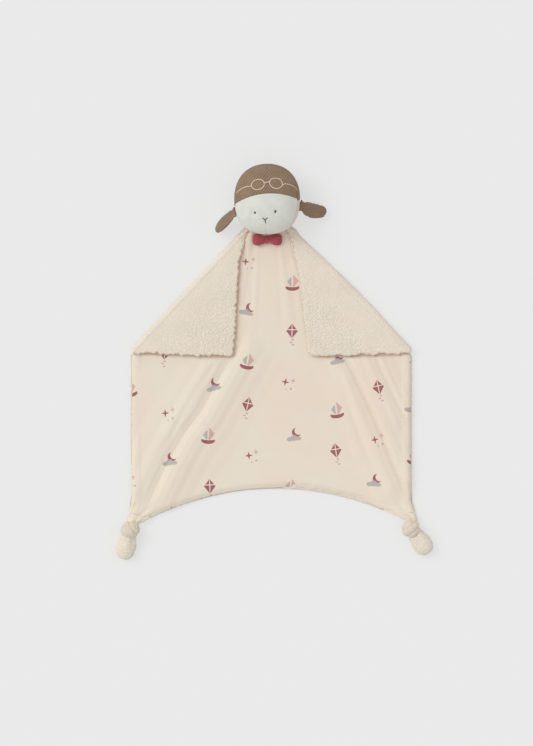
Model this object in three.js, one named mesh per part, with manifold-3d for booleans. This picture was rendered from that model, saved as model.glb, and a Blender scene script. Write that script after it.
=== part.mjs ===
// A baby's lovey lying face up: a stuffed lamb's head with a ribbed cap, goggles and long ears, a bow tie,
// and a square comfort blanket of printed jersey backed with sherpa. The two upper corners are folded over
// to the front, the two lower ones are knotted.
// Millimetres. X to the right, Y towards the head, Z up. The origin is on the underside of the blanket,
// which lies at z = 0.
import * as THREE from "three";
import { mergeVertices } from "three/addons/utils/BufferGeometryUtils.js";
import Module from "manifold-3d";

// Clearances
const GAP = 0.3; // between neighbouring pieces
const REST_CUT = 0.5; // depth of the flat on which a round piece rests

// Cloth
const SHERPA_THICKNESS = 4;
const JERSEY_THICKNESS = 1;
const JERSEY_INSET = 2; // the pile stands out past the jersey by this at the free edges

// Blanket outline, seen from above
const SIDE_X = 150; // side edges, from the middle line
const CREASE_END_Y = 7; // where the creases of the folded corners meet the side edges
const CREASE_TOP_Y = 132; // where the creases start at the neck
const NECK_HALF_WIDTH = 28.5; // from the head's middle line to each crease
const SIDE_END_Y = -152; // where the side edges start to gather
const BOTTOM_MIDDLE_Y = -137; // top of the bottom edge's arc
const GATHER_WIDTH = 14; // gathered cloth where it enters a knot
const FLAP_CORNER_X = 41; // loose corner of each folded flap, from the middle line
const FLAP_CORNER_Y = 3;
const FLAP_CORNER_RADIUS = 6;

// Long soft folds in the blanket, each a curve from near a flap to near a knot or the side edge. Its points
// are given as distances inside the side edge and below the blanket's middle.
const LEFT_FOLD = [[104, 8], [46, 82], [13, 160]];
const RIGHT_FOLD = [[62, 8], [26, 70], [9, 150]];
const RIGHT_SIDE_FOLD = [[28, 8], [16, 40], [4, 74]];
const FOLD_CLEARANCE = 11; // flat cloth between the flaps' lower corners and the folds
const FOLD_HEIGHT = 5;
const FOLD_WIDTH = 30;
const GRID_X = 10; // facets of the cloth, closer across the folds than along them
const GRID_Y = 14;

// Head
const HEAD_WIDTH = 73;
const HEAD_LENGTH = 80;
const HEAD_DEPTH = 56;
const HEAD_X = -4.3; // the head sits a little left of the blanket's middle
const HEAD_Y = 174.4;
const CHEEK_FULLNESS = 2.4; // exponent of the head's outline, 2 is an ellipse
const DEPTH_FULLNESS = 2.2;
const HEAD_FACETS = 6; // subdivisions of each icosahedron edge
const FORM_SIDES = 16; // facets round the ears, the bow and the tails
const PANEL_THICKNESS = 1.5; // velour, corduroy and backing cloth of the head
const BRIM_HEIGHT = 6.2; // top of the brim above the head's middle
const BRIM_RADIUS = 74; // curve of the brim seen from the front
const BRIM_SHIFT = 4; // the brim's top is right of the head's middle
const SIDE_SEAM_HEIGHT = 9; // face seam above the head's middle depth
const SIDE_SEAM_TILT = 6; // degrees, the face is turned a little to the left
const NAPE_Y = -6; // lower edge of the cap at the back, from the head's middle

// Ears
const EAR_LENGTH = 33;
const EAR_ROOT_WIDTH = 12;
const EAR_WIDTH = 19;
const EAR_ROOT_THICKNESS = 2;
const EAR_THICKNESS = 5;
const EAR_ROOT_GAP = 0.6; // room for the ear to swing on its seam
const EAR_ROOT_DEPTH = 3; // of the root below the head's middle depth
const EAR_DROOP = 0.55; // radians below level
const LEFT_EAR_ROOT_WAY = [-0.92, -0.4]; // from the head's middle to the ear's root, in the front view
const RIGHT_EAR_ROOT_WAY = [0.98, -0.2];
const LEFT_EAR_WAY = [-0.7, -0.71]; // the way each ear lies, in the front view
const RIGHT_EAR_WAY = [0.98, -0.19];
const LEFT_EAR_ROLL = 56; // degrees, the left ear is seen from its edge
const RIGHT_EAR_ROLL = 6;
const EAR_ROOT_TUCK = 4; // of the ear inside the head before it is cut to the seam
const EAR_ROOT_STRAIGHT = 1.5; // of the ear outside the seam before it widens
// Shares of the ear's length, width and thickness, from where it widens to its rounded tip.
const EAR_PROFILE = [
  [0.22, 0.8158, 0.8],
  [0.45, 0.96, 1],
  [0.65, 1, 1],
  [0.82, 0.86, 0.86],
  [0.94, 0.56, 0.6],
  [1, 0.16, 0.24],
];

// Bow tie
const BOW_WIDTH = 31.6;
const BOW_HEIGHT = 14;
const BOW_THICKNESS = 7;
const BOW_PINCH_WIDTH = 7; // height of the cloth where the binding pinches it
const BOW_PINCH_THICKNESS = 3;
const BOW_DROP = 4; // middle of the bow below the chin
const BOW_SHIFT = -0.7; // middle of the bow from the head's middle
const BINDING_WIDTH = 2.4;
const BINDING_THICKNESS = 1;
// Shares of half the bow's width, its height and its thickness, from beside the binding to a lobe's end.
const BOW_PROFILE = [
  [0.42, 0.82, 0.84],
  [0.66, 1, 1],
  [0.85, 0.94, 0.9],
  [0.96, 0.76, 0.6],
  [1, 0.5, 0.24],
];

// Knotted corners
const KNOT_RADIUS = 11;
const KNOT_HEIGHT = 20;
const LEFT_KNOT_OUT = 3; // middle of each knot outside the side edge
const LEFT_KNOT_DOWN = 32; // and below the side edge's end
const RIGHT_KNOT_OUT = 1;
const RIGHT_KNOT_DOWN = 31;
const LEFT_GATHER_WAY = [0.35, 0.94]; // from each knot back into the blanket
const RIGHT_GATHER_WAY = [0.02, 1];
const LEFT_TAIL_WAY = [-0.24, -0.97];
const RIGHT_TAIL_WAY = [0.6, -0.8];
const TAIL_LENGTH = 26;
const TAIL_WIDTH = 24;
const TAIL_HEIGHT = 15;
const TAIL_TUCK = 4; // of the tail inside the knot before it is cut to it
// Shares of the tail's whole length, its width and its height, from inside the knot to its end.
const TAIL_PROFILE = [
  [0, 0.52, 0.6],
  [0.2, 0.74, 0.84],
  [0.42, 0.96, 1],
  [0.62, 1, 1],
  [0.82, 0.82, 0.88],
  [0.95, 0.48, 0.56],
  [1, 0.16, 0.2],
];

// Embroidery
const THREAD_RADIUS = 0.5;
const THREAD_SIDES = 6;
const STITCH_STEP = 1.6; // length of each straight piece of a stitch line
const EYE_WIDTH = 2.6;
const EYE_LENGTH = 4;
const LENS_WIDTH = 15.4;
const LENS_HEIGHT = 11.6;
const LENS_TILT = 15; // degrees
const LENS_SPACING = 20.6;
const GOGGLE_SHIFT = -0.5; // middle of the goggles from the head's middle
const GOGGLE_Y = 17; // middle of the lenses above the head's middle
const STRAP_END_INSET = 3; // the straps stop this far inside the head's outline, beside the cap's side seams
const STRAP_END_Y = 8;
const STRAP_CROWN = 0.5;
const LEFT_EYE = [-14.3, -15.4]; // from the head's middle, in the front view
const RIGHT_EYE = [8.5, -14.1];
const MOUTH = [-3.1, 16.7]; // from the head's middle line, and above the chin
const MOUTH_LEFT_ARM = [-2.3, 1.8]; // its three strokes, from where they meet
const MOUTH_RIGHT_ARM = [2.5, 1.8];
const MOUTH_STEM = [1, -3.5];

const clothTop = SHERPA_THICKNESS + GAP + JERSEY_THICKNESS;
const creaseZ = clothTop + GAP / 2;
const headZ = HEAD_DEPTH / 2 - REST_CUT;
const headHalf = { x: HEAD_WIDTH / 2, y: HEAD_LENGTH / 2, z: HEAD_DEPTH / 2 };
const headPlace = new THREE.Vector3(HEAD_X, HEAD_Y, headZ);
const up = new THREE.Vector3(0, 0, 1);
const FAR = 400; // larger than the whole toy

const wasm = await Module();
wasm.setup();

// Booleans

function solid(geometry) {
  const bare = geometry.clone();
  bare.deleteAttribute("normal");
  bare.deleteAttribute("uv");
  const merged = mergeVertices(bare, 1e-4);
  const mesh = new wasm.Mesh({
    numProp: 3,
    vertProperties: merged.attributes.position.array,
    triVerts: new Uint32Array(merged.index.array),
  });
  return new wasm.Manifold(mesh);
}

function geometryOf(body) {
  const mesh = body.getMesh();
  const geometry = new THREE.BufferGeometry();
  geometry.setAttribute("position", new THREE.BufferAttribute(mesh.vertProperties, 3));
  geometry.setIndex(new THREE.BufferAttribute(mesh.triVerts, 1));
  return geometry;
}

// Plane shapes

function prism(points, bottom, top) {
  const options = { depth: top - bottom, bevelEnabled: false };
  const geometry = new THREE.ExtrudeGeometry(new THREE.Shape(points), options);
  geometry.translate(0, 0, bottom);
  return solid(geometry);
}

// The side of a line that lies to the left of its direction, as a block that reaches past the toy.
function leftOf(a, b, shift = 0) {
  const along = b.clone().sub(a).normalize();
  const left = new THREE.Vector2(-along.y, along.x);
  const start = a.clone().addScaledVector(along, -FAR).addScaledVector(left, shift);
  const end = a.clone().addScaledVector(along, FAR).addScaledVector(left, shift);
  const farEnd = end.clone().addScaledVector(left, FAR);
  const farStart = start.clone().addScaledVector(left, FAR);
  return prism([start, end, farEnd, farStart], -FAR, FAR);
}

// Everything above a plane through a point.
function above(point, normal) {
  const geometry = new THREE.BoxGeometry(2 * FAR, 2 * FAR, FAR);
  geometry.translate(0, 0, FAR / 2);
  geometry.applyQuaternion(new THREE.Quaternion().setFromUnitVectors(new THREE.Vector3(0, 0, 1), normal));
  geometry.translate(point.x, point.y, point.z);
  return solid(geometry);
}

// A cloth between two heights over a rectangular grid that fills a box, cut to an outline.
function cloth(outline, box, bottom, top, rise) {
  const columns = Math.ceil((box.max.x - box.min.x) / GRID_X);
  const rows = Math.ceil((box.max.y - box.min.y) / GRID_Y);
  const grid = new THREE.PlaneGeometry(1, 1, columns, rows);
  const count = grid.attributes.position.count;
  const positions = [];
  for (const level of [top, bottom])
    for (let i = 0; i < count; i++) {
      const x = THREE.MathUtils.lerp(box.min.x, box.max.x, grid.attributes.position.getX(i) + 0.5);
      const y = THREE.MathUtils.lerp(box.min.y, box.max.y, grid.attributes.position.getY(i) + 0.5);
      positions.push(x, y, level + rise(x, y));
    }
  const upper = [...grid.index.array];
  const faces = [...upper];
  for (let i = 0; i < upper.length; i += 3)
    faces.push(upper[i + 2] + count, upper[i + 1] + count, upper[i] + count);
  const rim = [];
  for (let i = 0; i < columns; i++) rim.push(i);
  for (let j = 0; j < rows; j++) rim.push(columns + j * (columns + 1));
  for (let i = columns; i > 0; i--) rim.push(i + rows * (columns + 1));
  for (let j = rows; j > 0; j--) rim.push(j * (columns + 1));
  rim.forEach((a, k) => {
    const b = rim[(k + 1) % rim.length];
    faces.push(a, b, a + count, b, b + count, a + count);
  });
  const geometry = new THREE.BufferGeometry();
  geometry.setAttribute("position", new THREE.BufferAttribute(new Float32Array(positions), 3));
  geometry.setIndex(faces);
  return solid(geometry).intersect(prism(outline, -FAR, FAR));
}

// Round shapes

// The head's surface, moved out by a distance. Its front outline is fuller than an ellipse.
function headGeometry(grow) {
  const geometry = new THREE.IcosahedronGeometry(1, HEAD_FACETS);
  const at = geometry.attributes.position;
  const point = new THREE.Vector3();
  for (let i = 0; i < at.count; i++) {
    point.fromBufferAttribute(at, i);
    point.multiplyScalar(1 / headReach(point, grow));
    at.setXYZ(i, HEAD_X + point.x, HEAD_Y + point.y, headZ + point.z);
  }
  return geometry;
}

// 1 on the head's surface, less inside it.
function headReach(point, grow) {
  const across = Math.abs(point.x / (headHalf.x + grow)) ** CHEEK_FULLNESS;
  const along = Math.abs(point.y / (headHalf.y + grow)) ** CHEEK_FULLNESS;
  const plan = (across + along) ** (DEPTH_FULLNESS / CHEEK_FULLNESS);
  return (plan + Math.abs(point.z / (headHalf.z + grow)) ** DEPTH_FULLNESS) ** (1 / DEPTH_FULLNESS);
}

// Distance from the head's middle to its surface, along one direction.
function headRadius(direction, grow = 0) {
  return 1 / headReach(direction.clone().normalize(), grow);
}

// A point on the front of the head, from its place in the front view, moved out by a distance.
function onFace(x, y, out) {
  const plan = Math.abs(x / headHalf.x) ** CHEEK_FULLNESS + Math.abs(y / headHalf.y) ** CHEEK_FULLNESS;
  const depth = (1 - plan ** (DEPTH_FULLNESS / CHEEK_FULLNESS)) ** (1 / DEPTH_FULLNESS);
  const surface = new THREE.Vector3(x, y, depth * headHalf.z);
  return surface.clone().addScaledVector(faceNormal(surface), out).add(headPlace);
}

function faceNormal(surface) {
  const step = 0.01;
  const slope = (axis) => {
    const ahead = surface.clone();
    const behind = surface.clone();
    ahead[axis] += step;
    behind[axis] -= step;
    return headReach(ahead, 0) - headReach(behind, 0);
  };
  return new THREE.Vector3(slope("x"), slope("y"), slope("z")).normalize();
}

// A soft closed form with oval sections. Each station is [distance, half width, half thickness] along a line.
function softForm(stations, origin, along, wide, sides) {
  const thick = new THREE.Vector3().crossVectors(along, wide);
  const positions = [];
  const faces = [];
  for (const [u, halfWidth, halfThickness] of stations)
    for (let k = 0; k < sides; k++) {
      const angle = (2 * Math.PI * k) / sides;
      const point = origin.clone().addScaledVector(along, u);
      point.addScaledVector(wide, halfWidth * Math.cos(angle));
      point.addScaledVector(thick, halfThickness * Math.sin(angle));
      positions.push(...point);
    }
  for (let ring = 0; ring + 1 < stations.length; ring++)
    for (let k = 0; k < sides; k++) {
      const a = ring * sides + k;
      const b = ring * sides + ((k + 1) % sides);
      faces.push(a, b, a + sides, b, b + sides, a + sides);
    }
  for (const [ring, flip] of [[0, true], [stations.length - 1, false]]) {
    const middle = positions.length / 3;
    positions.push(...origin.clone().addScaledVector(along, stations[ring][0]));
    for (let k = 0; k < sides; k++) {
      const a = ring * sides + k;
      const b = ring * sides + ((k + 1) % sides);
      faces.push(...(flip ? [middle, b, a] : [middle, a, b]));
    }
  }
  const geometry = new THREE.BufferGeometry();
  geometry.setAttribute("position", new THREE.BufferAttribute(new Float32Array(positions), 3));
  geometry.setIndex(faces);
  return solid(geometry);
}

// The stations of a soft form, from shares of its length, half width and half thickness.
function scaled(profile, length, halfWidth, halfThickness) {
  return profile.map(([u, v, w]) => [u * length, v * halfWidth, w * halfThickness]);
}

function ball(centre, halfX, halfY, halfZ) {
  const geometry = new THREE.IcosahedronGeometry(1, 3);
  geometry.scale(halfX, halfY, halfZ);
  geometry.translate(centre.x, centre.y, centre.z);
  return solid(geometry);
}

// A line of satin stitch that lies on the head, through points of the front view.
function stitchLine(points) {
  const front = new THREE.SplineCurve(points.map(([x, y]) => new THREE.Vector2(x, y)));
  const steps = Math.max(2, Math.round(front.getLength() / STITCH_STEP));
  const laid = front.getSpacedPoints(steps).map(({ x, y }) => onFace(x, y, GAP + THREAD_RADIUS));
  const section = new THREE.Shape();
  section.absarc(0, 0, THREAD_RADIUS, 0, 2 * Math.PI);
  const extrudePath = new THREE.CatmullRomCurve3(laid);
  const options = { steps, extrudePath, bevelEnabled: false, curveSegments: THREAD_SIDES / 2 };
  return solid(new THREE.ExtrudeGeometry(section, options));
}

function stitchRing(points) {
  const laid = points.map(([x, y]) => onFace(x, y, GAP + THREAD_RADIUS));
  const path = new THREE.CatmullRomCurve3(laid, true);
  return solid(new THREE.TubeGeometry(path, points.length, THREAD_RADIUS, THREAD_SIDES, true));
}

// Blanket

const neck = {
  left: new THREE.Vector2(HEAD_X - NECK_HALF_WIDTH, CREASE_TOP_Y),
  right: new THREE.Vector2(HEAD_X + NECK_HALF_WIDTH, CREASE_TOP_Y),
};
const creaseEnd = {
  left: new THREE.Vector2(-SIDE_X, CREASE_END_Y),
  right: new THREE.Vector2(SIDE_X, CREASE_END_Y),
};

// Knots: the middle of each, the way back into the blanket, and the way its tail points.
const knotZ = KNOT_HEIGHT / 2 - REST_CUT;
const knots = {
  left: {
    middle: new THREE.Vector3(-SIDE_X - LEFT_KNOT_OUT, SIDE_END_Y - LEFT_KNOT_DOWN, knotZ),
    gather: new THREE.Vector3(...LEFT_GATHER_WAY, 0).normalize(),
    tail: new THREE.Vector3(...LEFT_TAIL_WAY, 0).normalize(),
  },
  right: {
    middle: new THREE.Vector3(SIDE_X + RIGHT_KNOT_OUT, SIDE_END_Y - RIGHT_KNOT_DOWN, knotZ),
    gather: new THREE.Vector3(...RIGHT_GATHER_WAY, 0).normalize(),
    tail: new THREE.Vector3(...RIGHT_TAIL_WAY, 0).normalize(),
  },
};

// The two ends of the cut where the gathered cloth meets its knot, the outer one first.
function gatherEnds(knot, outward) {
  const reach = knotReach(clothTop) + GAP;
  const middle = new THREE.Vector2(knot.middle.x, knot.middle.y).addScaledVector(knot.gather, reach);
  const across = new THREE.Vector2(knot.gather.y, -knot.gather.x).multiplyScalar(outward * GATHER_WIDTH / 2);
  return [middle.clone().add(across), middle.clone().sub(across)];
}

// Half width of a knot at the highest point that the blanket's edge reaches beside it.
function knotReach(height) {
  const level = Math.min(height - knotZ, REST_CUT) / (KNOT_HEIGHT / 2);
  return KNOT_RADIUS * Math.sqrt(1 - level * level);
}

// How far the head reaches down the blanket at the height where they meet.
function neckSeamY() {
  const level = Math.abs((clothTop - headZ) / headHalf.z) ** DEPTH_FULLNESS;
  return HEAD_Y - headHalf.y * (1 - level) ** (1 / DEPTH_FULLNESS) - GAP;
}

function blanketOutline(inset) {
  const [leftOut, leftIn] = gatherEnds(knots.left, -1);
  const [rightOut, rightIn] = gatherEnds(knots.right, 1);
  const side = SIDE_X - inset;
  const control = new THREE.Vector2(0, 2 * (BOTTOM_MIDDLE_Y + inset) - (leftIn.y + rightIn.y) / 2);
  const arc = new THREE.QuadraticBezierCurve(leftIn, control, rightIn).getPoints(16);
  return [
    neck.left,
    new THREE.Vector2(-side, CREASE_END_Y),
    new THREE.Vector2(-side, SIDE_END_Y),
    leftOut,
    ...arc,
    rightOut,
    new THREE.Vector2(side, SIDE_END_Y),
    new THREE.Vector2(side, CREASE_END_Y),
    neck.right,
    new THREE.Vector2(HEAD_X + NECK_HALF_WIDTH / 2, neckSeamY()),
    new THREE.Vector2(HEAD_X - NECK_HALF_WIDTH / 2, neckSeamY()),
  ];
}

function foldLine(side, points) {
  const placed = points.map(([inside, below]) => new THREE.Vector2(side * (SIDE_X - inside), -below));
  return new THREE.QuadraticBezierCurve(...placed).getPoints(24);
}

const foldLines = [foldLine(-1, LEFT_FOLD), foldLine(1, RIGHT_FOLD), foldLine(1, RIGHT_SIDE_FOLD)];

// Height of the folds over the flat cloth. Each rises and dies away along its line and to both sides.
function foldRise(x, y) {
  let rise = 0;
  for (const line of foldLines) {
    let nearest = Infinity;
    let share = 0;
    line.forEach((point, i) => {
      const distance = Math.hypot(point.x - x, point.y - y);
      if (distance < nearest) [nearest, share] = [distance, i / (line.length - 1)];
    });
    const across = Math.max(0, Math.cos(Math.min(nearest / FOLD_WIDTH, 0.5) * Math.PI)) ** 2;
    rise = Math.max(rise, FOLD_HEIGHT * across * Math.sin(Math.PI * share) ** 0.5);
  }
  return y < FLAP_CORNER_Y - FOLD_CLEARANCE ? rise : 0;
}

// The crease lines run from the neck to the side edges. The blanket lies inside both.
function insideCreases(body, shift) {
  const left = leftOf(creaseEnd.left, neck.left, -shift);
  const right = leftOf(neck.right, creaseEnd.right, -shift);
  return body.subtract(left).subtract(right);
}

function blanketLayer(inset, bottom, top) {
  const box = new THREE.Box2().setFromPoints(blanketOutline(0)).expandByScalar(1);
  const flat = cloth(blanketOutline(inset), box, bottom, top, foldRise);
  return insideCreases(flat, GAP / 2).subtract(solid(headGeometry(GAP)));
}

// Flaps

function roundedCorner(before, corner, after, radius) {
  const start = corner.clone().add(before.clone().sub(corner).setLength(radius));
  const end = corner.clone().add(after.clone().sub(corner).setLength(radius));
  return new THREE.QuadraticBezierCurve(start, corner, end).getPoints(6);
}

function flap(side, inset, bottom, top) {
  const mirror = side === "left" ? -1 : 1;
  const corner = new THREE.Vector2(mirror * FLAP_CORNER_X, FLAP_CORNER_Y);
  const tip = roundedCorner(neck[side], corner, creaseEnd[side], FLAP_CORNER_RADIUS);
  const outline = [neck[side], ...tip, creaseEnd[side]];
  let body = insideCreases(prism(outline, bottom, top), GAP / 2);
  if (inset > 0)
    for (const [a, b] of [[neck[side], corner], [corner, creaseEnd[side]]])
      body = body.subtract(mirror < 0 ? leftOf(a, b, -inset) : leftOf(b, a, -inset));
  return body;
}

// Head

// The side seam runs round the head where the face meets the back of the head.
const seamNormal = new THREE.Vector3(-Math.tan(THREE.MathUtils.degToRad(SIDE_SEAM_TILT)), 0, 1).normalize();

function inFrontOfSeam(shift) {
  const point = headPlace.clone().addScaledVector(up, SIDE_SEAM_HEIGHT).addScaledVector(seamNormal, shift);
  return above(point, seamNormal);
}

function belowBrim(grow) {
  const circle = new THREE.Shape();
  circle.absarc(HEAD_X + BRIM_SHIFT, HEAD_Y + BRIM_HEIGHT - BRIM_RADIUS, BRIM_RADIUS + grow, 0, 2 * Math.PI);
  return prism(circle.getPoints(24), 0, FAR);
}

function rightOfMiddle(shift) {
  return above(new THREE.Vector3(HEAD_X + shift, 0, 0), new THREE.Vector3(1, 0, 0));
}

function aboveNape(shift) {
  return above(new THREE.Vector3(0, HEAD_Y + NAPE_Y + shift, 0), new THREE.Vector3(0, 1, 0));
}

function headPieces() {
  const floor = above(new THREE.Vector3(0, 0, 0), up);
  const skin = solid(headGeometry(0)).subtract(solid(headGeometry(-PANEL_THICKNESS))).intersect(floor);
  const front = skin.intersect(inFrontOfSeam(GAP / 2));
  const back = skin.subtract(inFrontOfSeam(-GAP / 2));
  const capFront = front.subtract(belowBrim(GAP));
  const filling = solid(headGeometry(-PANEL_THICKNESS - GAP));
  return {
    face_panel: front.intersect(belowBrim(0)),
    cap_left_panel: capFront.subtract(rightOfMiddle(-GAP / 2)),
    cap_right_panel: capFront.intersect(rightOfMiddle(GAP / 2)),
    cap_back_panel: back.intersect(aboveNape(GAP / 2)),
    nape_panel: back.subtract(aboveNape(-GAP / 2)),
    head_stuffing: filling.intersect(above(new THREE.Vector3(0, 0, PANEL_THICKNESS), up)),
  };
}

// Embroidery, placed on the front of the head from its middle

function eye(x, y) {
  const thickness = THREAD_RADIUS * 2;
  const geometry = new THREE.SphereGeometry(0.5, 12, 6);
  geometry.rotateX(Math.PI / 2);
  geometry.scale(EYE_WIDTH, EYE_LENGTH, thickness);
  const place = onFace(x, y, GAP + thickness / 2);
  const outward = place.clone().sub(onFace(x, y, 0)).normalize();
  geometry.applyQuaternion(new THREE.Quaternion().setFromUnitVectors(up, outward));
  geometry.translate(place.x, place.y, place.z);
  return solid(geometry);
}

function mouth() {
  const [x, aboveChin] = MOUTH;
  const y = aboveChin - headHalf.y;
  const middle = [x, y];
  const strokes = [MOUTH_LEFT_ARM, MOUTH_RIGHT_ARM, MOUTH_STEM];
  return strokes.map(([dx, dy]) => stitchLine([middle, [x + dx, y + dy]])).reduce((a, b) => a.add(b));
}

// A point of a lens's outline. Both lenses drop towards their outer ends.
function lensPoint(side, angle) {
  const tilt = THREE.MathUtils.degToRad(-side * LENS_TILT);
  const x = (LENS_WIDTH / 2) * Math.cos(angle);
  const y = (LENS_HEIGHT / 2) * Math.sin(angle);
  const middle = (side * LENS_SPACING) / 2 + GOGGLE_SHIFT;
  const acrossFace = middle + x * Math.cos(tilt) - y * Math.sin(tilt);
  const upFace = GOGGLE_Y + x * Math.sin(tilt) + y * Math.cos(tilt);
  return [acrossFace, upFace];
}

function lens(side) {
  const count = 24;
  const points = [];
  for (let k = 0; k < count; k++) points.push(lensPoint(side, (2 * Math.PI * k) / count));
  return stitchRing(points);
}

const threadRoom = 2 * THREAD_RADIUS + 2 * GAP;

function strap(side) {
  const [x, y] = lensPoint(side, side > 0 ? 0 : Math.PI);
  const start = [x + side * threadRoom, y];
  const end = [side * (headHalf.x - STRAP_END_INSET), STRAP_END_Y];
  const middle = [(start[0] + end[0]) / 2, Math.max(start[1], end[1]) + STRAP_CROWN];
  return stitchLine([start, middle, end]);
}

function bridge() {
  const [left, y] = lensPoint(-1, 0);
  const [right] = lensPoint(1, Math.PI);
  return stitchLine([[left + threadRoom, y], [right - threadRoom, y]]);
}

// Ears

// Where each ear is sewn on, the way it lies, and the way its width runs.
function earPlace(side) {
  const outward = new THREE.Vector3(...(side === "left" ? LEFT_EAR_ROOT_WAY : RIGHT_EAR_ROOT_WAY), 0);
  const radius = headRadius(outward);
  const root = outward.clone().normalize().multiplyScalar(radius).add(headPlace);
  root.z -= EAR_ROOT_DEPTH;
  const plan = new THREE.Vector3(...(side === "left" ? LEFT_EAR_WAY : RIGHT_EAR_WAY), 0);
  const along = plan.multiplyScalar(Math.cos(EAR_DROOP));
  along.addScaledVector(up, -Math.sin(EAR_DROOP)).normalize();
  const level = new THREE.Vector3().crossVectors(up, along).normalize();
  const roll = THREE.MathUtils.degToRad(side === "left" ? LEFT_EAR_ROLL : RIGHT_EAR_ROLL);
  return { root, along, wide: level.applyAxisAngle(along, roll) };
}

function earPieces(side) {
  const { root, along, wide } = earPlace(side);
  const stations = [
    [-EAR_ROOT_TUCK, EAR_ROOT_WIDTH / 2, EAR_ROOT_THICKNESS / 2],
    [EAR_ROOT_STRAIGHT, EAR_ROOT_WIDTH / 2, EAR_ROOT_THICKNESS / 2],
    ...scaled(EAR_PROFILE, EAR_LENGTH, EAR_WIDTH / 2, EAR_THICKNESS / 2),
  ];
  const form = softForm(stations, root, along, wide, FORM_SIDES);
  const whole = form.subtract(solid(headGeometry(EAR_ROOT_GAP)));
  const facing = new THREE.Vector3().crossVectors(along, wide);
  if (facing.z < 0) facing.negate();
  return {
    [side + "_ear_front"]: whole.intersect(above(root.clone().addScaledVector(facing, GAP / 2), facing)),
    [side + "_ear_back"]: whole.subtract(above(root.clone().addScaledVector(facing, -GAP / 2), facing)),
  };
}

// Bow tie

const bowPlace = new THREE.Vector3(
  HEAD_X + BOW_SHIFT,
  HEAD_Y - headHalf.y - BOW_DROP,
  clothTop + GAP + BOW_THICKNESS / 2,
);

function bowLobe(side) {
  const stations = [
    [GAP / 2, BOW_PINCH_WIDTH / 2, BOW_PINCH_THICKNESS / 2],
    [BINDING_WIDTH, BOW_PINCH_WIDTH / 2, BOW_PINCH_THICKNESS / 2],
    ...scaled(BOW_PROFILE, BOW_WIDTH / 2, BOW_HEIGHT / 2, BOW_THICKNESS / 2),
  ];
  const along = new THREE.Vector3(side, 0, 0);
  return softForm(stations, bowPlace, along, new THREE.Vector3(0, side, 0), FORM_SIDES);
}

function bowBinding() {
  const band = (half, grow) => [
    [-half, BOW_PINCH_WIDTH / 2 + grow, BOW_PINCH_THICKNESS / 2 + grow],
    [half, BOW_PINCH_WIDTH / 2 + grow, BOW_PINCH_THICKNESS / 2 + grow],
  ];
  const along = new THREE.Vector3(1, 0, 0);
  const wide = new THREE.Vector3(0, 1, 0);
  const outer = softForm(band(BINDING_WIDTH / 2, GAP + BINDING_THICKNESS), bowPlace, along, wide, FORM_SIDES);
  return outer.subtract(softForm(band(BINDING_WIDTH, GAP), bowPlace, along, wide, FORM_SIDES));
}

// Knotted corners

function knotPieces(side) {
  const { middle, tail } = knots[side];
  const floor = above(new THREE.Vector3(0, 0, 0), up);
  const knotForm = (grow) => ball(middle, KNOT_RADIUS + grow, KNOT_RADIUS + grow, KNOT_HEIGHT / 2 + grow);
  const start = middle.clone().addScaledVector(tail, KNOT_RADIUS - TAIL_TUCK);
  start.z = TAIL_HEIGHT / 2 - REST_CUT;
  const stations = scaled(TAIL_PROFILE, TAIL_LENGTH + TAIL_TUCK, TAIL_WIDTH / 2, TAIL_HEIGHT / 2);
  const wide = new THREE.Vector3().crossVectors(up, tail);
  const tailForm = softForm(stations, start, tail, wide, FORM_SIDES);
  return {
    [side + "_knot"]: knotForm(0).intersect(floor),
    [side + "_knot_tail"]: tailForm.subtract(knotForm(GAP)).intersect(floor),
  };
}

// Finishes

const finishes = {
  jersey: new THREE.MeshStandardMaterial({ color: 0xe6dcc9, roughness: 0.9, metalness: 0 }),
  sherpa: new THREE.MeshStandardMaterial({ color: 0xe2d5c1, roughness: 1, metalness: 0 }),
  velour: new THREE.MeshStandardMaterial({ color: 0xd6d7ce, roughness: 0.85, metalness: 0 }),
  nape: new THREE.MeshStandardMaterial({ color: 0xd8cabd, roughness: 0.9, metalness: 0 }),
  corduroy: new THREE.MeshStandardMaterial({ color: 0x8a7663, roughness: 0.95, metalness: 0 }),
  burgundy: new THREE.MeshStandardMaterial({ color: 0x8c4145, roughness: 0.9, metalness: 0 }),
  paleThread: new THREE.MeshStandardMaterial({ color: 0xcdb09a, roughness: 0.6, metalness: 0 }),
  darkThread: new THREE.MeshStandardMaterial({ color: 0x3a3330, roughness: 0.6, metalness: 0 }),
  stuffing: new THREE.MeshStandardMaterial({ color: 0xf2f2ee, roughness: 1, metalness: 0 }),
};

// Assembly

const lovey = new THREE.Group();

function place(pieces, finish) {
  for (const [name, body] of Object.entries(pieces)) {
    const mesh = new THREE.Mesh(geometryOf(body), finishes[finish].clone());
    mesh.name = name;
    lovey.add(mesh);
  }
}

const jerseyBottom = SHERPA_THICKNESS + GAP;
const flapBottom = clothTop + GAP;
const flapSherpa = flapBottom + JERSEY_THICKNESS + GAP;

place({ blanket_back_sherpa: blanketLayer(0, 0, SHERPA_THICKNESS) }, "sherpa");
place({ blanket_front_jersey: blanketLayer(JERSEY_INSET, jerseyBottom, clothTop) }, "jersey");
for (const side of ["left", "right"]) {
  const inner = flap(side, JERSEY_INSET, flapBottom, flapBottom + JERSEY_THICKNESS);
  place({ [side + "_flap_jersey"]: inner }, "jersey");
  place({ [side + "_flap_sherpa"]: flap(side, 0, flapSherpa, flapSherpa + SHERPA_THICKNESS) }, "sherpa");
  place(knotPieces(side), "sherpa");
  place(earPieces(side), "corduroy");
}

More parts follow.
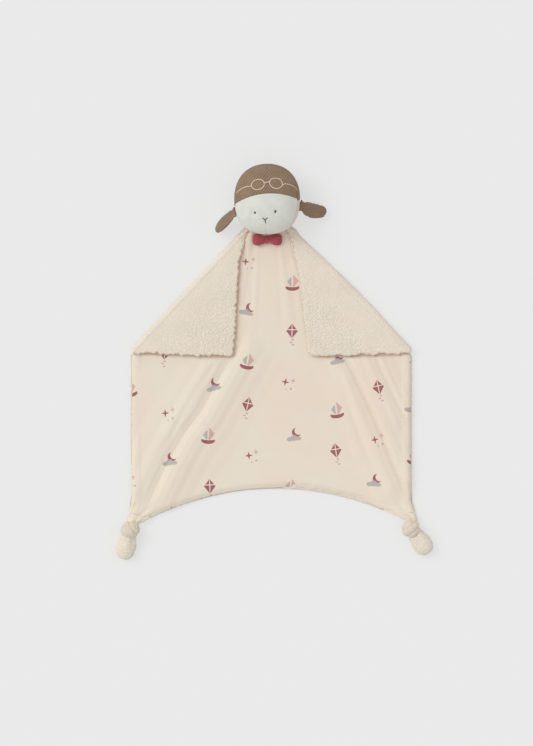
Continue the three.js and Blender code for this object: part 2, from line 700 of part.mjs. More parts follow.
const { face_panel, nape_panel, head_stuffing, ...cap } = headPieces();
place({ face_panel }, "velour");
place({ nape_panel }, "nape");
place({ head_stuffing }, "stuffing");
place(cap, "corduroy");
place({ bow_left_lobe: bowLobe(-1), bow_right_lobe: bowLobe(1) }, "burgundy");
place({ bow_binding: bowBinding() }, "burgundy");
place({ left_eye: eye(...LEFT_EYE), right_eye: eye(...RIGHT_EYE), mouth: mouth() }, "darkThread");
place({ goggle_left_lens: lens(-1), goggle_right_lens: lens(1), goggle_bridge: bridge() }, "paleThread");
place({ goggle_left_strap: strap(-1), goggle_right_strap: strap(1) }, "paleThread");

export default lovey;
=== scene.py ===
# A baby's lovey lying face up: a stuffed lamb's head with a corduroy cap, embroidered goggles and long ears,
# a bow tie, and a comfort blanket of printed jersey backed with sherpa. Its two upper corners are folded to
# the front, and its two lower ones are knotted.
# Metres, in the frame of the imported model: X to the right, Y towards the head, Z up.
import math
from functools import cache

import bmesh
import bpy
import numpy as np
from bpy.props import FloatProperty, FloatVectorProperty, PointerProperty
from mathutils import Matrix, Vector
from mathutils.bvhtree import BVHTree
from mathutils.kdtree import KDTree


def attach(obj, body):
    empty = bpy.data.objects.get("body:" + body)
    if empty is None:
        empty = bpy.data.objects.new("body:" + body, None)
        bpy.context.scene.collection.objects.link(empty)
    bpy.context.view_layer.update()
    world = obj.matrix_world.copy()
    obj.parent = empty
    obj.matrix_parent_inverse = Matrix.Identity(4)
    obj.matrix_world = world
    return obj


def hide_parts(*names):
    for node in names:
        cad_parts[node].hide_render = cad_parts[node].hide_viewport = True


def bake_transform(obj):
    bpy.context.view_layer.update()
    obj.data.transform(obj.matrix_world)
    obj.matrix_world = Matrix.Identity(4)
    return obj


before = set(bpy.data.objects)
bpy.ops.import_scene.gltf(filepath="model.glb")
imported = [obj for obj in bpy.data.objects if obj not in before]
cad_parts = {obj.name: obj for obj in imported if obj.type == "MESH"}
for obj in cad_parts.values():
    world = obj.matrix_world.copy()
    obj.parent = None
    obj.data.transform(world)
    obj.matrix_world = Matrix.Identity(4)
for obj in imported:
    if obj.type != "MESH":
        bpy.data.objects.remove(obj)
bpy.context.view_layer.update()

bl_info = {
    "name": "Lovey",
    "version": (1, 0, 0),
    "blender": (4, 5, 0),
    "location": "3D View > Sidebar > Lovey",
    "description": "Builds a baby's lovey over its packed frame, piece by piece",
    "category": "Object",
}

MM = 0.001
GAP = 0.3 * MM
RIM = 2.2 * MM  # the pile stands this far out of the cloth's cut edge


def linear(code):
    """Linear RGBA of an sRGB hex colour."""
    channels = [int(code[i : i + 2], 16) / 255 for i in (0, 2, 4)]
    return [c / 12.92 if c <= 0.04045 else ((c + 0.055) / 1.055) ** 2.4 for c in channels] + [1.0]


# Sizes and colours


def length(name, millimetres, description):
    given = {"name": name, "description": description, "default": millimetres * MM}
    return FloatProperty(**given, unit="LENGTH", precision=4)


def colour(name, code, description):
    return FloatVectorProperty(
        name=name, description=description, default=linear(code), size=4, min=0, max=1, subtype="COLOR"
    )


class LoveyBlanketSizes(bpy.types.PropertyGroup):
    side_x: length("Half width", 150, "From the middle line to a side edge")
    crease_end_y: length("Crease end", 7, "Where the creases meet the side edges")
    crease_top_y: length("Crease top", 132, "Where the creases start at the neck")
    neck_half_width: length("Neck half width", 28.5, "From the head's middle line to each crease")
    side_end_y: length("Side end", -152, "Where the side edges start to gather")
    bottom_y: length("Bottom middle", -137, "Top of the bottom edge's arc")
    flap_corner_x: length("Flap corner X", 41, "Loose corner of each folded flap, from the middle line")
    flap_corner_y: length("Flap corner Y", 3, "Loose corner of each folded flap")
    flap_corner_radius: length("Flap corner radius", 6, "Rounding of the loose corners")
    sherpa: length("Sherpa thickness", 4, "Backing and pile together")
    jersey: length("Jersey thickness", 1, "Single knit jersey")
    curl: length("Curl size", 1.6, "Distance between the curls of the pile")
    pile: length("Curl height", 0.8, "Height of the curls over the backing")
    print_width: length("Print repeat width", 45, "Distance between the columns of the half-drop print")
    print_height: length("Print repeat height", 54, "Distance between the motifs of a column")


class LoveyHeadSizes(bpy.types.PropertyGroup):
    width: length("Width", 73, "Across the cheeks")
    height: length("Length", 80, "From the chin to the top of the cap")
    depth: length("Depth", 56, "From the face to the back of the head")
    x: length("Middle X", -4.3, "The head sits a little left of the blanket's middle")
    y: length("Middle Y", 174.4, "Middle of the head")
    wale: length("Wale spacing", 2.5, "Distance between the cords of the corduroy")
    wale_height: length("Wale height", 0.55, "Height of the cords of the corduroy")
    ear_length: length("Ear length", 33, "From the seam to the tip")
    ear_width: length("Ear width", 19, "Across the widest part")
    ear_thickness: length("Ear thickness", 5, "Through the widest part")


class LoveyTrimSizes(bpy.types.PropertyGroup):
    bow_width: length("Bow width", 31.6, "Across both lobes")
    bow_height: length("Bow height", 14, "Height of a lobe")
    bow_thickness: length("Bow thickness", 7, "Through the fullest part of a lobe")
    rib: length("Rib spacing", 1.9, "Distance between the ribs of the bow's knit")
    knot_radius: length("Knot radius", 11, "Half width of a knot")
    knot_height: length("Knot height", 20, "Height of a knot")
    tail_length: length("Tail length", 24.5, "Loose end below each knot")
    tail_width: length("Tail width", 24, "Across the fullest part of a loose end")
    tail_height: length("Tail height", 15, "Height of a loose end")
    gather_width: length("Gather width", 14, "Gathered cloth where it enters a knot")
    thread: length("Thread radius", 0.3, "Embroidery thread")
    stitch_step: length("Stitch step", 0.5, "Distance between satin stitches")


class LoveyColours(bpy.types.PropertyGroup):
    curl_tip: colour("Curl tips", "f0e6d6", "Light cream tips of the sherpa's curls")
    curl_root: colour("Curl roots", "e2d7c6", "Shaded roots between the curls")
    jersey: colour("Jersey", "ebe1cf", "Cream ground of the printed jersey")
    # The turned edge's pinkish brown is painted shadow.
    painted_edge_shadow: colour("Turned edge", "deb5a0", "Pinkish turned edge of the jersey")
    velour: colour("Velour", "dedfd7", "Pale mint grey face")
    # The nape's pinkish beige is partly its own colour and partly painted shade with warm light from the
    # blanket, as the head's underside lies in shade.
    nape: colour("Nape jersey", "d5cabf", "Pinkish beige back of the head")
    cap: colour("Cap corduroy", "988069", "Brown wales of the cap")
    ear: colour("Ear corduroy", "947c67", "Brown wales of the ears")
    bow: colour("Bow", "b8595f", "Burgundy rib knit")
    pale_thread: colour("Pale thread", "e9d1bc", "Pinkish beige goggles")
    dark_thread: colour("Dark thread", "40332b", "Eyes and mouth")
    ink_dark: colour("Dark ink", "9a4858", "Burgundy of the print")
    ink_pink: colour("Pink ink", "d9a9a4", "Dusty pink of the print")
    ink_grey: colour("Grey ink", "b7b0ae", "Grey of the print")
    floor: colour("Floor", "ebebeb", "Plain pale floor")


def blanket_sizes():
    return bpy.context.scene.lovey_blanket


def head_sizes():
    return bpy.context.scene.lovey_head


def trim_sizes():
    return bpy.context.scene.lovey_trims


def colours():
    return bpy.context.scene.lovey_colours


# The knotted corners, in millimetres: how far the knot's middle lies outside the side edge and below its
# end, the way back into the blanket, and the way the tail points
KNOTS = {
    -1: {"out": 3, "down": 32, "gather": (0.35, 0.94), "tail": (-0.24, -0.97)},
    1: {"out": 1, "down": 31, "gather": (0.02, 1.0), "tail": (0.6, -0.8)},
}
SIDE_NAME = {-1: "left", 1: "right"}
# The loose inner edge of each folded corner, from the neck to its rounded corner, in millimetres
FLAP_EDGES = {
    -1: [(-28, 130.5), (-34, 109.5), (-36.3, 74)],
    1: [(20.5, 130.5), (28.5, 98), (33.2, 60), (37.2, 22)],
}
FOLD_PAST_NECK = 11 * MM
# The parts of a folded corner's turned edge: first and last place in millimetres along its outline, finish,
# and in millimetres how far in it lies and how much wider it is near the neck
EDGE_PARTS = {
    # The edge part's pinkish brown paints the shadow along the edges facing away from the light: the left
    # corner's inner and lower edges, and the right corner's lower edge.
    -1: {"edge": (13, -3, "jersey_edge", 0.1, 0.5), "neck_edge": (1, 15, "cotton_jersey", 0.5, 1.0)},
    1: {"edge": (148, -3, "jersey_edge", 0.1, 0.5), "neck_edge": (1, 34, "cotton_jersey", 0.5, 1.0)},
}
CUT_BACK = 7  # the gathered corner starts this far back from the knot's seam


def mm(*values):
    return np.array(values, float) * MM


def unit(vector):
    vector = np.asarray(vector, float)
    return vector / np.linalg.norm(vector)


def unit_rows(rows):
    return rows / np.linalg.norm(rows, axis=1)[:, None]


def smooth(value):
    value = np.clip(value, 0, 1)
    return value * value * (3 - 2 * value)


def hump(value, middle, width):
    """1 at the middle, and near 0 from twice the width on."""
    return np.exp(-(((value - middle) / width) ** 2))


def profile(value, places, heights):
    """Heights over places, joined by smooth steps instead of straight lines."""
    places, heights = np.asarray(places, float), np.asarray(heights, float)
    span = np.clip(np.searchsorted(places, value, side="right") - 1, 0, len(places) - 2)
    share = smooth((value - places[span]) / (places[span + 1] - places[span]))
    return heights[span] + (heights[span + 1] - heights[span]) * share


def ripple(x, y, seed, wavelength):
    """A soft uneven surface between about -1 and 1, the same each run."""
    rng = np.random.default_rng(seed)
    total = np.zeros_like(x)
    for _ in range(7):
        angle, phase = rng.uniform(0, 2 * math.pi, 2)
        stretch = rng.uniform(0.7, 1.6)
        across = (x * math.cos(angle) + y * math.sin(angle)) * 2 * math.pi / (wavelength * stretch)
        total += np.sin(across + phase)
    return total / 3.2


# Lines in the plane


def bezier(a, b, c, count):
    t = np.linspace(0, 1, count)[:, None]
    return (1 - t) ** 2 * np.asarray(a) + 2 * t * (1 - t) * np.asarray(b) + t**2 * np.asarray(c)


def to_line(points, line, closed=False):
    """For each point: distance to a line, its foot on it, its share along it, and 1 on its left, -1 on its
    right."""
    ends = np.vstack([line, line[:1]]) if closed else np.asarray(line)
    best = np.full(len(points), np.inf)
    foot = np.zeros_like(points)
    share = np.zeros(len(points))
    side = np.ones(len(points))
    for i in range(len(ends) - 1):
        a, ab = ends[i], ends[i + 1] - ends[i]
        t = np.clip(((points - a) @ ab) / max(ab @ ab, 1e-18), 0, 1)
        here = a + t[:, None] * ab
        distance = np.hypot(*(points - here).T)
        nearer = distance < best
        best[nearer] = distance[nearer]
        foot[nearer] = here[nearer]
        share[nearer] = (i + t[nearer]) / (len(ends) - 1)
        turn = ab[0] * (points[:, 1] - a[1]) - ab[1] * (points[:, 0] - a[0])
        side[nearer] = np.where(turn[nearer] >= 0, 1, -1)
    return best, foot, share, side


def inside(points, outline):
    """True for each point inside a closed outline."""
    result = np.zeros(len(points), bool)
    x, y = points.T
    for (ax, ay), (bx, by) in zip(outline, np.roll(outline, -1, axis=0)):
        between = (ay > y) != (by > y)
        if ay != by:
            result ^= between & (x < (bx - ax) * (y - ay) / (by - ay) + ax)
    return result


def area_of(outline):
    x, y = np.asarray(outline).T
    return abs(np.sum(x * np.roll(y, -1) - np.roll(x, -1) * y)) / 2


def resample(line, step):
    line = np.asarray(line, float)
    reach = np.concatenate([[0], np.cumsum(np.hypot(*np.diff(line, axis=0).T))])
    places = np.linspace(0, reach[-1], max(3, int(round(reach[-1] / step)) + 1))
    return np.stack([np.interp(places, reach, line[:, k]) for k in range(line.shape[1])], 1)


def nearest_of(places, targets):
    """For each place: the number of the nearest target, and its distance."""
    tree = KDTree(len(targets))
    for k, target in enumerate(targets):
        tree.insert((*target, 0.0)[:3], k)
    tree.balance()
    numbers, distances = zip(*[tree.find((*place, 0.0)[:3])[1:] for place in places])
    return np.array(numbers), np.array(distances)


def quads(index, flip=False):
    """The cells of a grid of values, each as its four corners, and the other way round if flipped."""
    corners = [index[:-1, :-1], index[1:, :-1], index[1:, 1:], index[:-1, 1:]]
    return np.stack([corners[k] for k in ((0, 3, 2, 1) if flip else (0, 1, 2, 3))], -1)


def filled(outline, step, along=(1.0, 0.0)):
    """Square cells inside an outline, their outer points moved onto it: (points, cells, rim edges)."""
    ahead = unit(along)
    basis = np.array([ahead, [-ahead[1], ahead[0]]])
    local = outline @ basis.T
    low = local.min(0) - step * 0.31
    counts = np.ceil((local.max(0) - low) / step).astype(int) + 1
    grid = np.stack(np.meshgrid(*map(np.arange, counts), indexing="ij"), -1)
    points = (low + grid.reshape(-1, 2) * step) @ basis
    kept = inside(points, outline) | (to_line(points, outline, closed=True)[0] < 0.4 * step)
    cells = quads(np.arange(len(points)).reshape(counts))[quads(kept.reshape(counts)).all(-1)]
    used, flat = np.unique(cells, return_inverse=True)
    points, cells = points[used], flat.reshape(-1, 4)
    rim = rim_edges(cells, len(points))
    outer = np.unique(rim)
    points[outer] = to_line(points[outer], outline, closed=True)[1]
    return points, cells, rim


def rim_edges(faces, count):
    """The directed edges that belong to one face only."""
    a, b = np.stack([faces, np.roll(faces, -1, 1)]).transpose(0, 2, 1).reshape(2, -1)
    return np.stack([a, b], 1)[~np.isin(a * count + b, b * count + a)]


# Meshes


def mesh_object(name, points, faces, finish, values):
    """A smooth shaded object at the origin, with named values at its points."""
    mesh = bpy.data.meshes.new(name)
    mesh.from_pydata(np.asarray(points, float).tolist(), [], [list(map(int, f)) for f in faces])
    mesh.update()
    mesh.polygons.foreach_set("use_smooth", [True] * len(mesh.polygons))
    for key, given in values.items():
        given = np.asarray(given, np.float32)
        kind, field = ("FLOAT_VECTOR", "vector") if given.ndim == 2 else ("FLOAT", "value")
        mesh.attributes.new(key, kind, "POINT").data.foreach_set(field, given.ravel())
    mesh.materials.append(material_of(finish))
    obj = bpy.data.objects.new(name, mesh)
    bpy.context.scene.collection.objects.link(obj)
    return obj


def cloth_object(name, finish, upper, lower, faces, rim, above, below=None):
    """A closed cloth from its upper and lower side, with named values above, and the same or others
    below."""
    count = len(upper)
    a, b = rim.T
    walls = np.stack([b, a, a + count, b + count], 1)
    below = below or above
    values = {key: np.concatenate([above[key], below[key]]) for key in above}
    made = [*faces, *(faces[:, ::-1] + count), *walls]
    return mesh_object(name, np.vstack([upper, lower]), made, finish, values)


def settle(obj):
    """Turns the object's modifiers into its plain mesh."""
    graph = bpy.context.evaluated_depsgraph_get()
    made = bpy.data.meshes.new_from_object(
        obj.evaluated_get(graph), preserve_all_data_layers=True, depsgraph=graph
    )
    made.name = obj.data.name + "_made"
    obj.modifiers.clear()
    obj.data = made
    return obj


# Nodes


def add(tree, kind, *values, out=0, **named):
    """Adds a node and returns one of its outputs, or the node if out is None. The values fill its first
    inputs, except None. A name in small letters is a setting, and any other an input, with _ for a space."""
    node = tree.nodes.new(kind)
    filled_in = list(enumerate(values))
    for key, value in named.items():
        if key.islower():
            setattr(node, key, value)
        else:
            filled_in.append((key.replace("_", " "), value))
    for key, value in filled_in:
        if isinstance(value, bpy.types.NodeSocket):
            tree.links.new(value, node.inputs[key])
        elif value is not None:
            node.inputs[key].default_value = value
    return node if out is None else node.outputs[out]


def geometry_tree(name, *numbers):
    """An empty geometry tree with named numbers and a material to set: (tree, what its nodes are given)."""
    tree = bpy.data.node_groups.new(name, "GeometryNodeTree")
    inputs = {"Geometry": "Geometry", **dict.fromkeys(numbers, "Float"), "Material": "Material"}
    for label, kind in inputs.items():
        tree.interface.new_socket(label, in_out="INPUT", socket_type="NodeSocket" + kind)
    tree.interface.new_socket("Geometry", in_out="OUTPUT", socket_type="NodeSocketGeometry")
    return tree, tree.nodes.new("NodeGroupInput").outputs


def finish_tree(tree, given, geometry):
    """Ends a geometry tree with real geometry of the material that its input names."""
    real = add(tree, "GeometryNodeRealizeInstances", geometry)
    painted = add(tree, "GeometryNodeSetMaterial", Geometry=real, Material=given["Material"])
    add(tree, "NodeGroupOutput", painted, out=None)
    return tree


def raised(tree, given, height):
    """Moves each point along its pile by a height, as far as there is pile."""
    normal = add(tree, "GeometryNodeInputNamedAttribute", data_type="FLOAT_VECTOR", Name="pile_normal")
    share = add(tree, "GeometryNodeInputNamedAttribute", data_type="FLOAT", Name="pile_share")
    masked = add(tree, "ShaderNodeMath", height, share, operation="MULTIPLY")
    offset = add(tree, "ShaderNodeVectorMath", normal, operation="SCALE", Scale=masked)
    return add(tree, "GeometryNodeSetPosition", Geometry=given["Geometry"], Offset=offset)


def grow(obj, tree, **values):
    """Runs a geometry tree on the object, its inputs set by name, and keeps the result as a plain mesh."""
    modifier = obj.modifiers.new(tree.name, "NODES")
    modifier.node_group = tree
    values["material"] = obj.data.materials[0]
    for item in tree.interface.items_tree:
        key = item.name.lower().replace(" ", "_")
        if item.in_out == "INPUT" and key in values:
            modifier[item.identifier] = values[key]
    return settle(obj)


@cache
def curls_tree():
    """Curled pile: round curls of uneven height on the side of a cloth that has pile."""
    tree, given = geometry_tree("Sherpa Curls", "Curl Size", "Pile Height", "Seed")
    place = add(tree, "GeometryNodeInputNamedAttribute", data_type="FLOAT_VECTOR", Name="pile_place")
    scale = add(tree, "ShaderNodeMath", 1.0, given["Curl Size"], operation="DIVIDE")
    scaled = add(tree, "ShaderNodeVectorMath", place, operation="SCALE", Scale=scale)
    noise = {"noise_dimensions": "4D", "Scale": 0.9, "Detail": 1.0}
    wander = add(tree, "ShaderNodeTexNoise", Vector=scaled, W=given["Seed"], **noise, out=1)
    centred = add(tree, "ShaderNodeVectorMath", wander, (0.5, 0.5, 0.5), operation="SUBTRACT")
    warp = add(tree, "ShaderNodeVectorMath", centred, operation="SCALE", Scale=1.1)
    curled = add(tree, "ShaderNodeVectorMath", scaled, warp, operation="ADD")
    cells = {"feature": "SMOOTH_F1", "Scale": 1.0, "Smoothness": 0.25, "Randomness": 0.9}
    curls = add(tree, "ShaderNodeTexVoronoi", Vector=curled, **cells)
    squared = add(tree, "ShaderNodeMath", curls, 1.7, operation="POWER")
    dome = add(tree, "ShaderNodeMath", squared, -1.9, 1.0, operation="MULTIPLY_ADD")
    clumps = add(tree, "ShaderNodeTexNoise", Vector=scaled, Scale=0.4, Detail=1.0)
    uneven = add(tree, "ShaderNodeMath", clumps, 0.6, -0.3, operation="MULTIPLY_ADD")
    total = add(tree, "ShaderNodeMath", dome, uneven, operation="ADD", use_clamp=True)
    height = add(tree, "ShaderNodeMath", total, 0.4, operation="SUBTRACT")
    tall = add(tree, "ShaderNodeMath", height, given["Pile Height"], operation="MULTIPLY")
    kept = add(
        tree, "GeometryNodeStoreNamedAttribute", data_type="FLOAT", domain="POINT",
        Geometry=raised(tree, given, tall), Name="curl_height", Value=total,
    )
    return finish_tree(tree, given, kept)


@cache
def wales_tree():
    """Raised cords side by side, as on corduroy or rib knit."""
    tree, given = geometry_tree("Wales", "Spacing", "Height")
    across = add(tree, "GeometryNodeInputNamedAttribute", data_type="FLOAT", Name="wale_place")
    turns = add(tree, "ShaderNodeMath", across, given["Spacing"], operation="DIVIDE")
    angle = add(tree, "ShaderNodeMath", turns, math.pi, operation="MULTIPLY")
    wave = add(tree, "ShaderNodeMath", angle, operation="SINE")
    cord = add(tree, "ShaderNodeMath", wave, operation="ABSOLUTE")
    round_cord = add(tree, "ShaderNodeMath", cord, 0.6, operation="POWER")
    centred = add(tree, "ShaderNodeMath", round_cord, 0.6, operation="SUBTRACT")
    tall = add(tree, "ShaderNodeMath", centred, given["Height"], operation="MULTIPLY")
    return finish_tree(tree, given, raised(tree, given, tall))


@cache
def stitches_tree():
    """One short thread at each point, turned as the point says."""
    tree, given = geometry_tree("Satin Stitches", "Thread Radius", "Stitch Length")
    turn = add(tree, "GeometryNodeInputNamedAttribute", data_type="FLOAT_VECTOR", Name="stitch_turn")
    reach = add(tree, "GeometryNodeInputNamedAttribute", data_type="FLOAT", Name="stitch_share")
    ball = add(tree, "GeometryNodeMeshUVSphere", Segments=6, Rings=5, Radius=1.0)
    smooth_ball = add(tree, "GeometryNodeSetShadeSmooth", ball)
    half = add(tree, "ShaderNodeMath", given["Stitch Length"], 0.5, operation="MULTIPLY")
    long = add(tree, "ShaderNodeMath", half, reach, operation="MULTIPLY")
    size = add(tree, "ShaderNodeCombineXYZ", long, given["Thread Radius"], given["Thread Radius"])
    rotation = add(tree, "FunctionNodeEulerToRotation", turn)
    placed = add(
        tree, "GeometryNodeInstanceOnPoints",
        Points=given["Geometry"], Instance=smooth_ball, Rotation=rotation, Scale=size,
    )
    return finish_tree(tree, given, placed)


# Materials


def new_material(name):
    """An empty material: (material, its node tree)."""
    material = bpy.data.materials.new(name)
    material.use_nodes = True
    material.node_tree.nodes.clear()
    return material, material.node_tree


def shade(tree, colour, relief, strength, depth, **inputs):
    """Ends a material with one shader: its colour, its fine relief as a bump, and other inputs by name."""
    bump = add(tree, "ShaderNodeBump", Strength=strength, Distance=depth, Height=relief)
    shader = add(tree, "ShaderNodeBsdfPrincipled", Base_Color=colour, Normal=bump, **inputs)
    add(tree, "ShaderNodeOutputMaterial", Surface=shader, out=None)


def tinted(base, share):
    """A colour made darker or lighter."""
    return [min(1.0, channel * share) for channel in base[:3]] + [1.0]


def patches(tree, place, scale, detail, low, high, most=1.0):
    """Uneven patches: noise between low and high, spread from 0 to most."""
    noise = add(tree, "ShaderNodeTexNoise", Vector=place, Scale=scale, Detail=detail)
    return add(tree, "ShaderNodeMapRange", noise, low, high, 0.0, most)


def blend_of(tree, factor, low, high):
    """A colour between two others."""
    return add(tree, "ShaderNodeMix", factor, *[None] * 5, low, high, data_type="RGBA", out=2)


def sherpa_material(name, wear):
    """Sherpa fleece: brushed polyester curls in cream, matt, with light tips, shaded roots and fine fibres.
    A factor below 1 darkens all of it, as painted shade on the knots."""
    material, tree = new_material(name)
    place = add(tree, "ShaderNodeAttribute", attribute_name="pile_place", out=1)
    height = add(tree, "ShaderNodeAttribute", attribute_name="curl_height", out=2)
    pile = add(tree, "ShaderNodeAttribute", attribute_name="pile_share", out=2)
    sharp = add(tree, "ShaderNodeMapRange", height, 0.1, 0.75)
    contrast = add(tree, "ShaderNodeMix", pile, None, 0.55, sharp, data_type="FLOAT")
    colour = blend_of(tree, contrast, tinted(colours().curl_root, wear), tinted(colours().curl_tip, wear))
    for scale, low, most, tint in ((38.0, 0.35, 0.22, "e6d0bc"), (61.0, 0.42, 0.35, "d9d4c6")):
        colour = blend_of(tree, patches(tree, place, scale, 2.0, low, 0.7, most), colour, linear(tint))
    # Fibres are near 0.02 mm, drawn at 0.5 mm so that they show.
    fibres = add(tree, "ShaderNodeTexNoise", Vector=place, Scale=1900.0, Detail=3.0)
    looks = {"Roughness": 0.95, "Specular_IOR_Level": 0.2, "Sheen_Weight": 0.15, "Sheen_Roughness": 0.6}
    shade(tree, colour, fibres, 0.5, 0.4 * MM, **looks)
    return material


@cache
def oval_distance():
    """Signed distance in millimetres to an oval, or to a diamond: below zero inside it."""
    tree = bpy.data.node_groups.new("Oval Distance", "ShaderNodeTree")
    sockets = {"Place": "Vector", "Centre": "Vector", "Radii": "Vector", "Diamond": "Float"}
    for label, kind in sockets.items():
        tree.interface.new_socket(label, in_out="INPUT", socket_type="NodeSocket" + kind)
    tree.interface.new_socket("Distance", in_out="OUTPUT", socket_type="NodeSocketFloat")
    given = tree.nodes.new("NodeGroupInput").outputs
    moved = add(tree, "ShaderNodeVectorMath", given["Place"], given["Centre"], operation="SUBTRACT")
    scaled = add(tree, "ShaderNodeVectorMath", moved, given["Radii"], operation="DIVIDE")
    round_reach = add(tree, "ShaderNodeVectorMath", scaled, operation="LENGTH", out=1)
    folded = add(tree, "ShaderNodeVectorMath", scaled, operation="ABSOLUTE")
    straight = add(tree, "ShaderNodeVectorMath", folded, (1, 1, 1), operation="DOT_PRODUCT", out=1)
    reach = add(tree, "ShaderNodeMix", given["Diamond"], None, round_reach, straight, data_type="FLOAT")
    size = add(tree, "ShaderNodeSeparateXYZ", given["Radii"])
    past = add(tree, "ShaderNodeMath", reach, 1.0, operation="SUBTRACT")
    distance = add(tree, "ShaderNodeMath", past, size, operation="MULTIPLY")
    add(tree, "NodeGroupOutput", distance, out=None)
    return tree


# The print's motifs, in millimetres from the middle of each: kite, sailing boat, moon behind a cloud, stars.
# Each shape is an ink, then ovals or diamonds as (x, y, half width, half height, diamond) joined together,
# then the ones cut out of them.
MOTIFS = [
    [
        ("ink_dark", [(0, 3, 5, 6.5, 1)], [(0, 3, 0.45, 7, 0), (0, 4.2, 6, 0.45, 0)]),
        ("ink_pink", [(0.8, -4.6, 1.2, 0.7, 0), (-0.6, -6.8, 1.2, 0.7, 0), (1.2, -9, 1.2, 0.7, 0)], []),
    ],
    [
        ("ink_dark", [(0, -4, 6, 3, 0)], [(0, -1.6, 7, 2.2, 0)]),
        ("ink_pink", [(1.2, 1.6, 4.2, 5.4, 1)], [(-2.9, 2, 3.6, 9, 0)]),
        ("ink_grey", [(-1.4, 0.8, 3.2, 4, 1)], [(2.4, 1, 3.2, 8, 0)]),
    ],
    [
        ("ink_dark", [(2.2, 2.6, 4, 4, 0)], [(4.2, 3.8, 3.6, 3.6, 0)]),
        ("ink_grey", [(-4, -2.6, 3, 1.9, 0), (-0.6, -1.9, 3, 2.6, 0), (3, -3, 2.8, 1.5, 0)], []),
    ],
    [
        ("ink_dark", [(-3, 1.5, 1, 3.6, 1), (-3, 1.5, 3.6, 1, 1)], []),
        ("ink_pink", [(3.4, 4, 0.8, 2.6, 1), (3.4, 4, 2.6, 0.8, 1)], []),
        ("ink_grey", [(3, -3.4, 0.9, 0.9, 0), (-1, -4.6, 0.6, 0.6, 0)], []),
    ],
]


def printed(tree, place, ground):
    """The ground colour with the small motifs on it, set in a half-drop repeat."""
    width, height = blanket_sizes().print_width, blanket_sizes().print_height
    split = add(tree, "ShaderNodeSeparateXYZ", place, out=None)
    columns = add(tree, "ShaderNodeMath", split.outputs[0], width, operation="DIVIDE")
    column = add(tree, "ShaderNodeMath", columns, operation="FLOOR")
    odd = add(tree, "ShaderNodeMath", column, 2.0, operation="FLOORED_MODULO")
    rows = add(tree, "ShaderNodeMath", split.outputs[1], height, operation="DIVIDE")
    dropped = add(tree, "ShaderNodeMath", odd, 0.5, rows, operation="MULTIPLY_ADD")
    row = add(tree, "ShaderNodeMath", dropped, operation="FLOOR")
    off_middle = []
    for reach, size in ((columns, width / MM), (dropped, height / MM)):
        share = add(tree, "ShaderNodeMath", reach, operation="FRACT")
        off_middle.append(add(tree, "ShaderNodeMath", share, size, -size / 2, operation="MULTIPLY_ADD"))
    centred = add(tree, "ShaderNodeCombineXYZ", *off_middle, 0.0)
    # Each motif stands a little off the middle of its place, and is turned a little.
    cell = add(tree, "ShaderNodeCombineXYZ", column, row, 3.0)
    chance, many = add(tree, "ShaderNodeTexWhiteNoise", noise_dimensions="3D", Vector=cell, out=None).outputs
    shift = add(tree, "ShaderNodeVectorMath", many, (11, 13, 0), (-5.5, -6.5, 0), operation="MULTIPLY_ADD")
    moved = add(tree, "ShaderNodeVectorMath", centred, shift, operation="ADD")
    angle = add(tree, "ShaderNodeMath", chance, 0.6, -0.3, operation="MULTIPLY_ADD")
    turned = add(tree, "ShaderNodeVectorRotate", rotation_type="Z_AXIS", Vector=moved, Angle=angle)
    local = add(tree, "ShaderNodeVectorMath", turned, operation="SCALE", Scale=0.8)
    # Each column runs through the motifs in turn, and the next column starts two or three further on.
    turn = add(tree, "ShaderNodeMath", column, 2.5, row, operation="MULTIPLY_ADD")
    whole = add(tree, "ShaderNodeMath", turn, operation="FLOOR")
    kind = add(tree, "ShaderNodeMath", whole, float(len(MOTIFS)), operation="FLOORED_MODULO")
    for number, motif in enumerate(MOTIFS):
        chosen = add(tree, "ShaderNodeMath", kind, float(number), 0.1, operation="COMPARE")
        for ink, joined, cut in motif:
            distance = None
            for shapes, joint in ((joined, "MINIMUM"), (cut, "MAXIMUM")):
                for x, y, rx, ry, diamond in shapes:
                    oval = {"Centre": (x, y, 0), "Radii": (rx, ry, 1), "Diamond": float(diamond)}
                    reach = add(tree, "ShaderNodeGroup", node_tree=oval_distance(), Place=local, **oval)
                    if joint == "MAXIMUM":
                        reach = add(tree, "ShaderNodeMath", reach, -1.0, operation="MULTIPLY")
                    if distance is not None:
                        reach = add(tree, "ShaderNodeMath", distance, reach, operation=joint)
                    distance = reach
            mask = add(tree, "ShaderNodeMapRange", distance, 0.15, -0.15, 0.0, 0.9)
            shown = add(tree, "ShaderNodeMath", mask, chosen, operation="MULTIPLY")
            ground = blend_of(tree, shown, ground, getattr(colours(), ink))
    return ground


def jersey_material(name, ground, with_print):
    """Single cotton jersey: fine knitted columns, soft and matt, with the small print on the front cloth."""
    material, tree = new_material(name)
    place = add(tree, "ShaderNodeAttribute", attribute_name="pile_place", out=1)
    pinker = blend_of(tree, 0.6, ground, linear("efd8c8"))
    cream = blend_of(tree, patches(tree, place, 13.0, 2.0, 0.38, 0.62, 0.8), ground, pinker)
    split = add(tree, "ShaderNodeSeparateXYZ", place, out=None)
    waves = []
    # Loops are near 0.6 mm wide and 0.45 mm high.
    for reach, loop in zip(split.outputs, (0.6 * MM, 0.45 * MM)):
        angle = add(tree, "ShaderNodeMath", reach, 2 * math.pi / loop, operation="MULTIPLY")
        waves.append(add(tree, "ShaderNodeMath", angle, operation="SINE"))
    loops = add(tree, "ShaderNodeMath", waves[1], 0.5, waves[0], operation="MULTIPLY_ADD")
    looks = {"Roughness": 0.88, "Specular_IOR_Level": 0.25, "Sheen_Weight": 0.08}
    shade(tree, printed(tree, place, cream) if with_print else cream, loops, 0.35, 0.12 * MM, **looks)
    return material


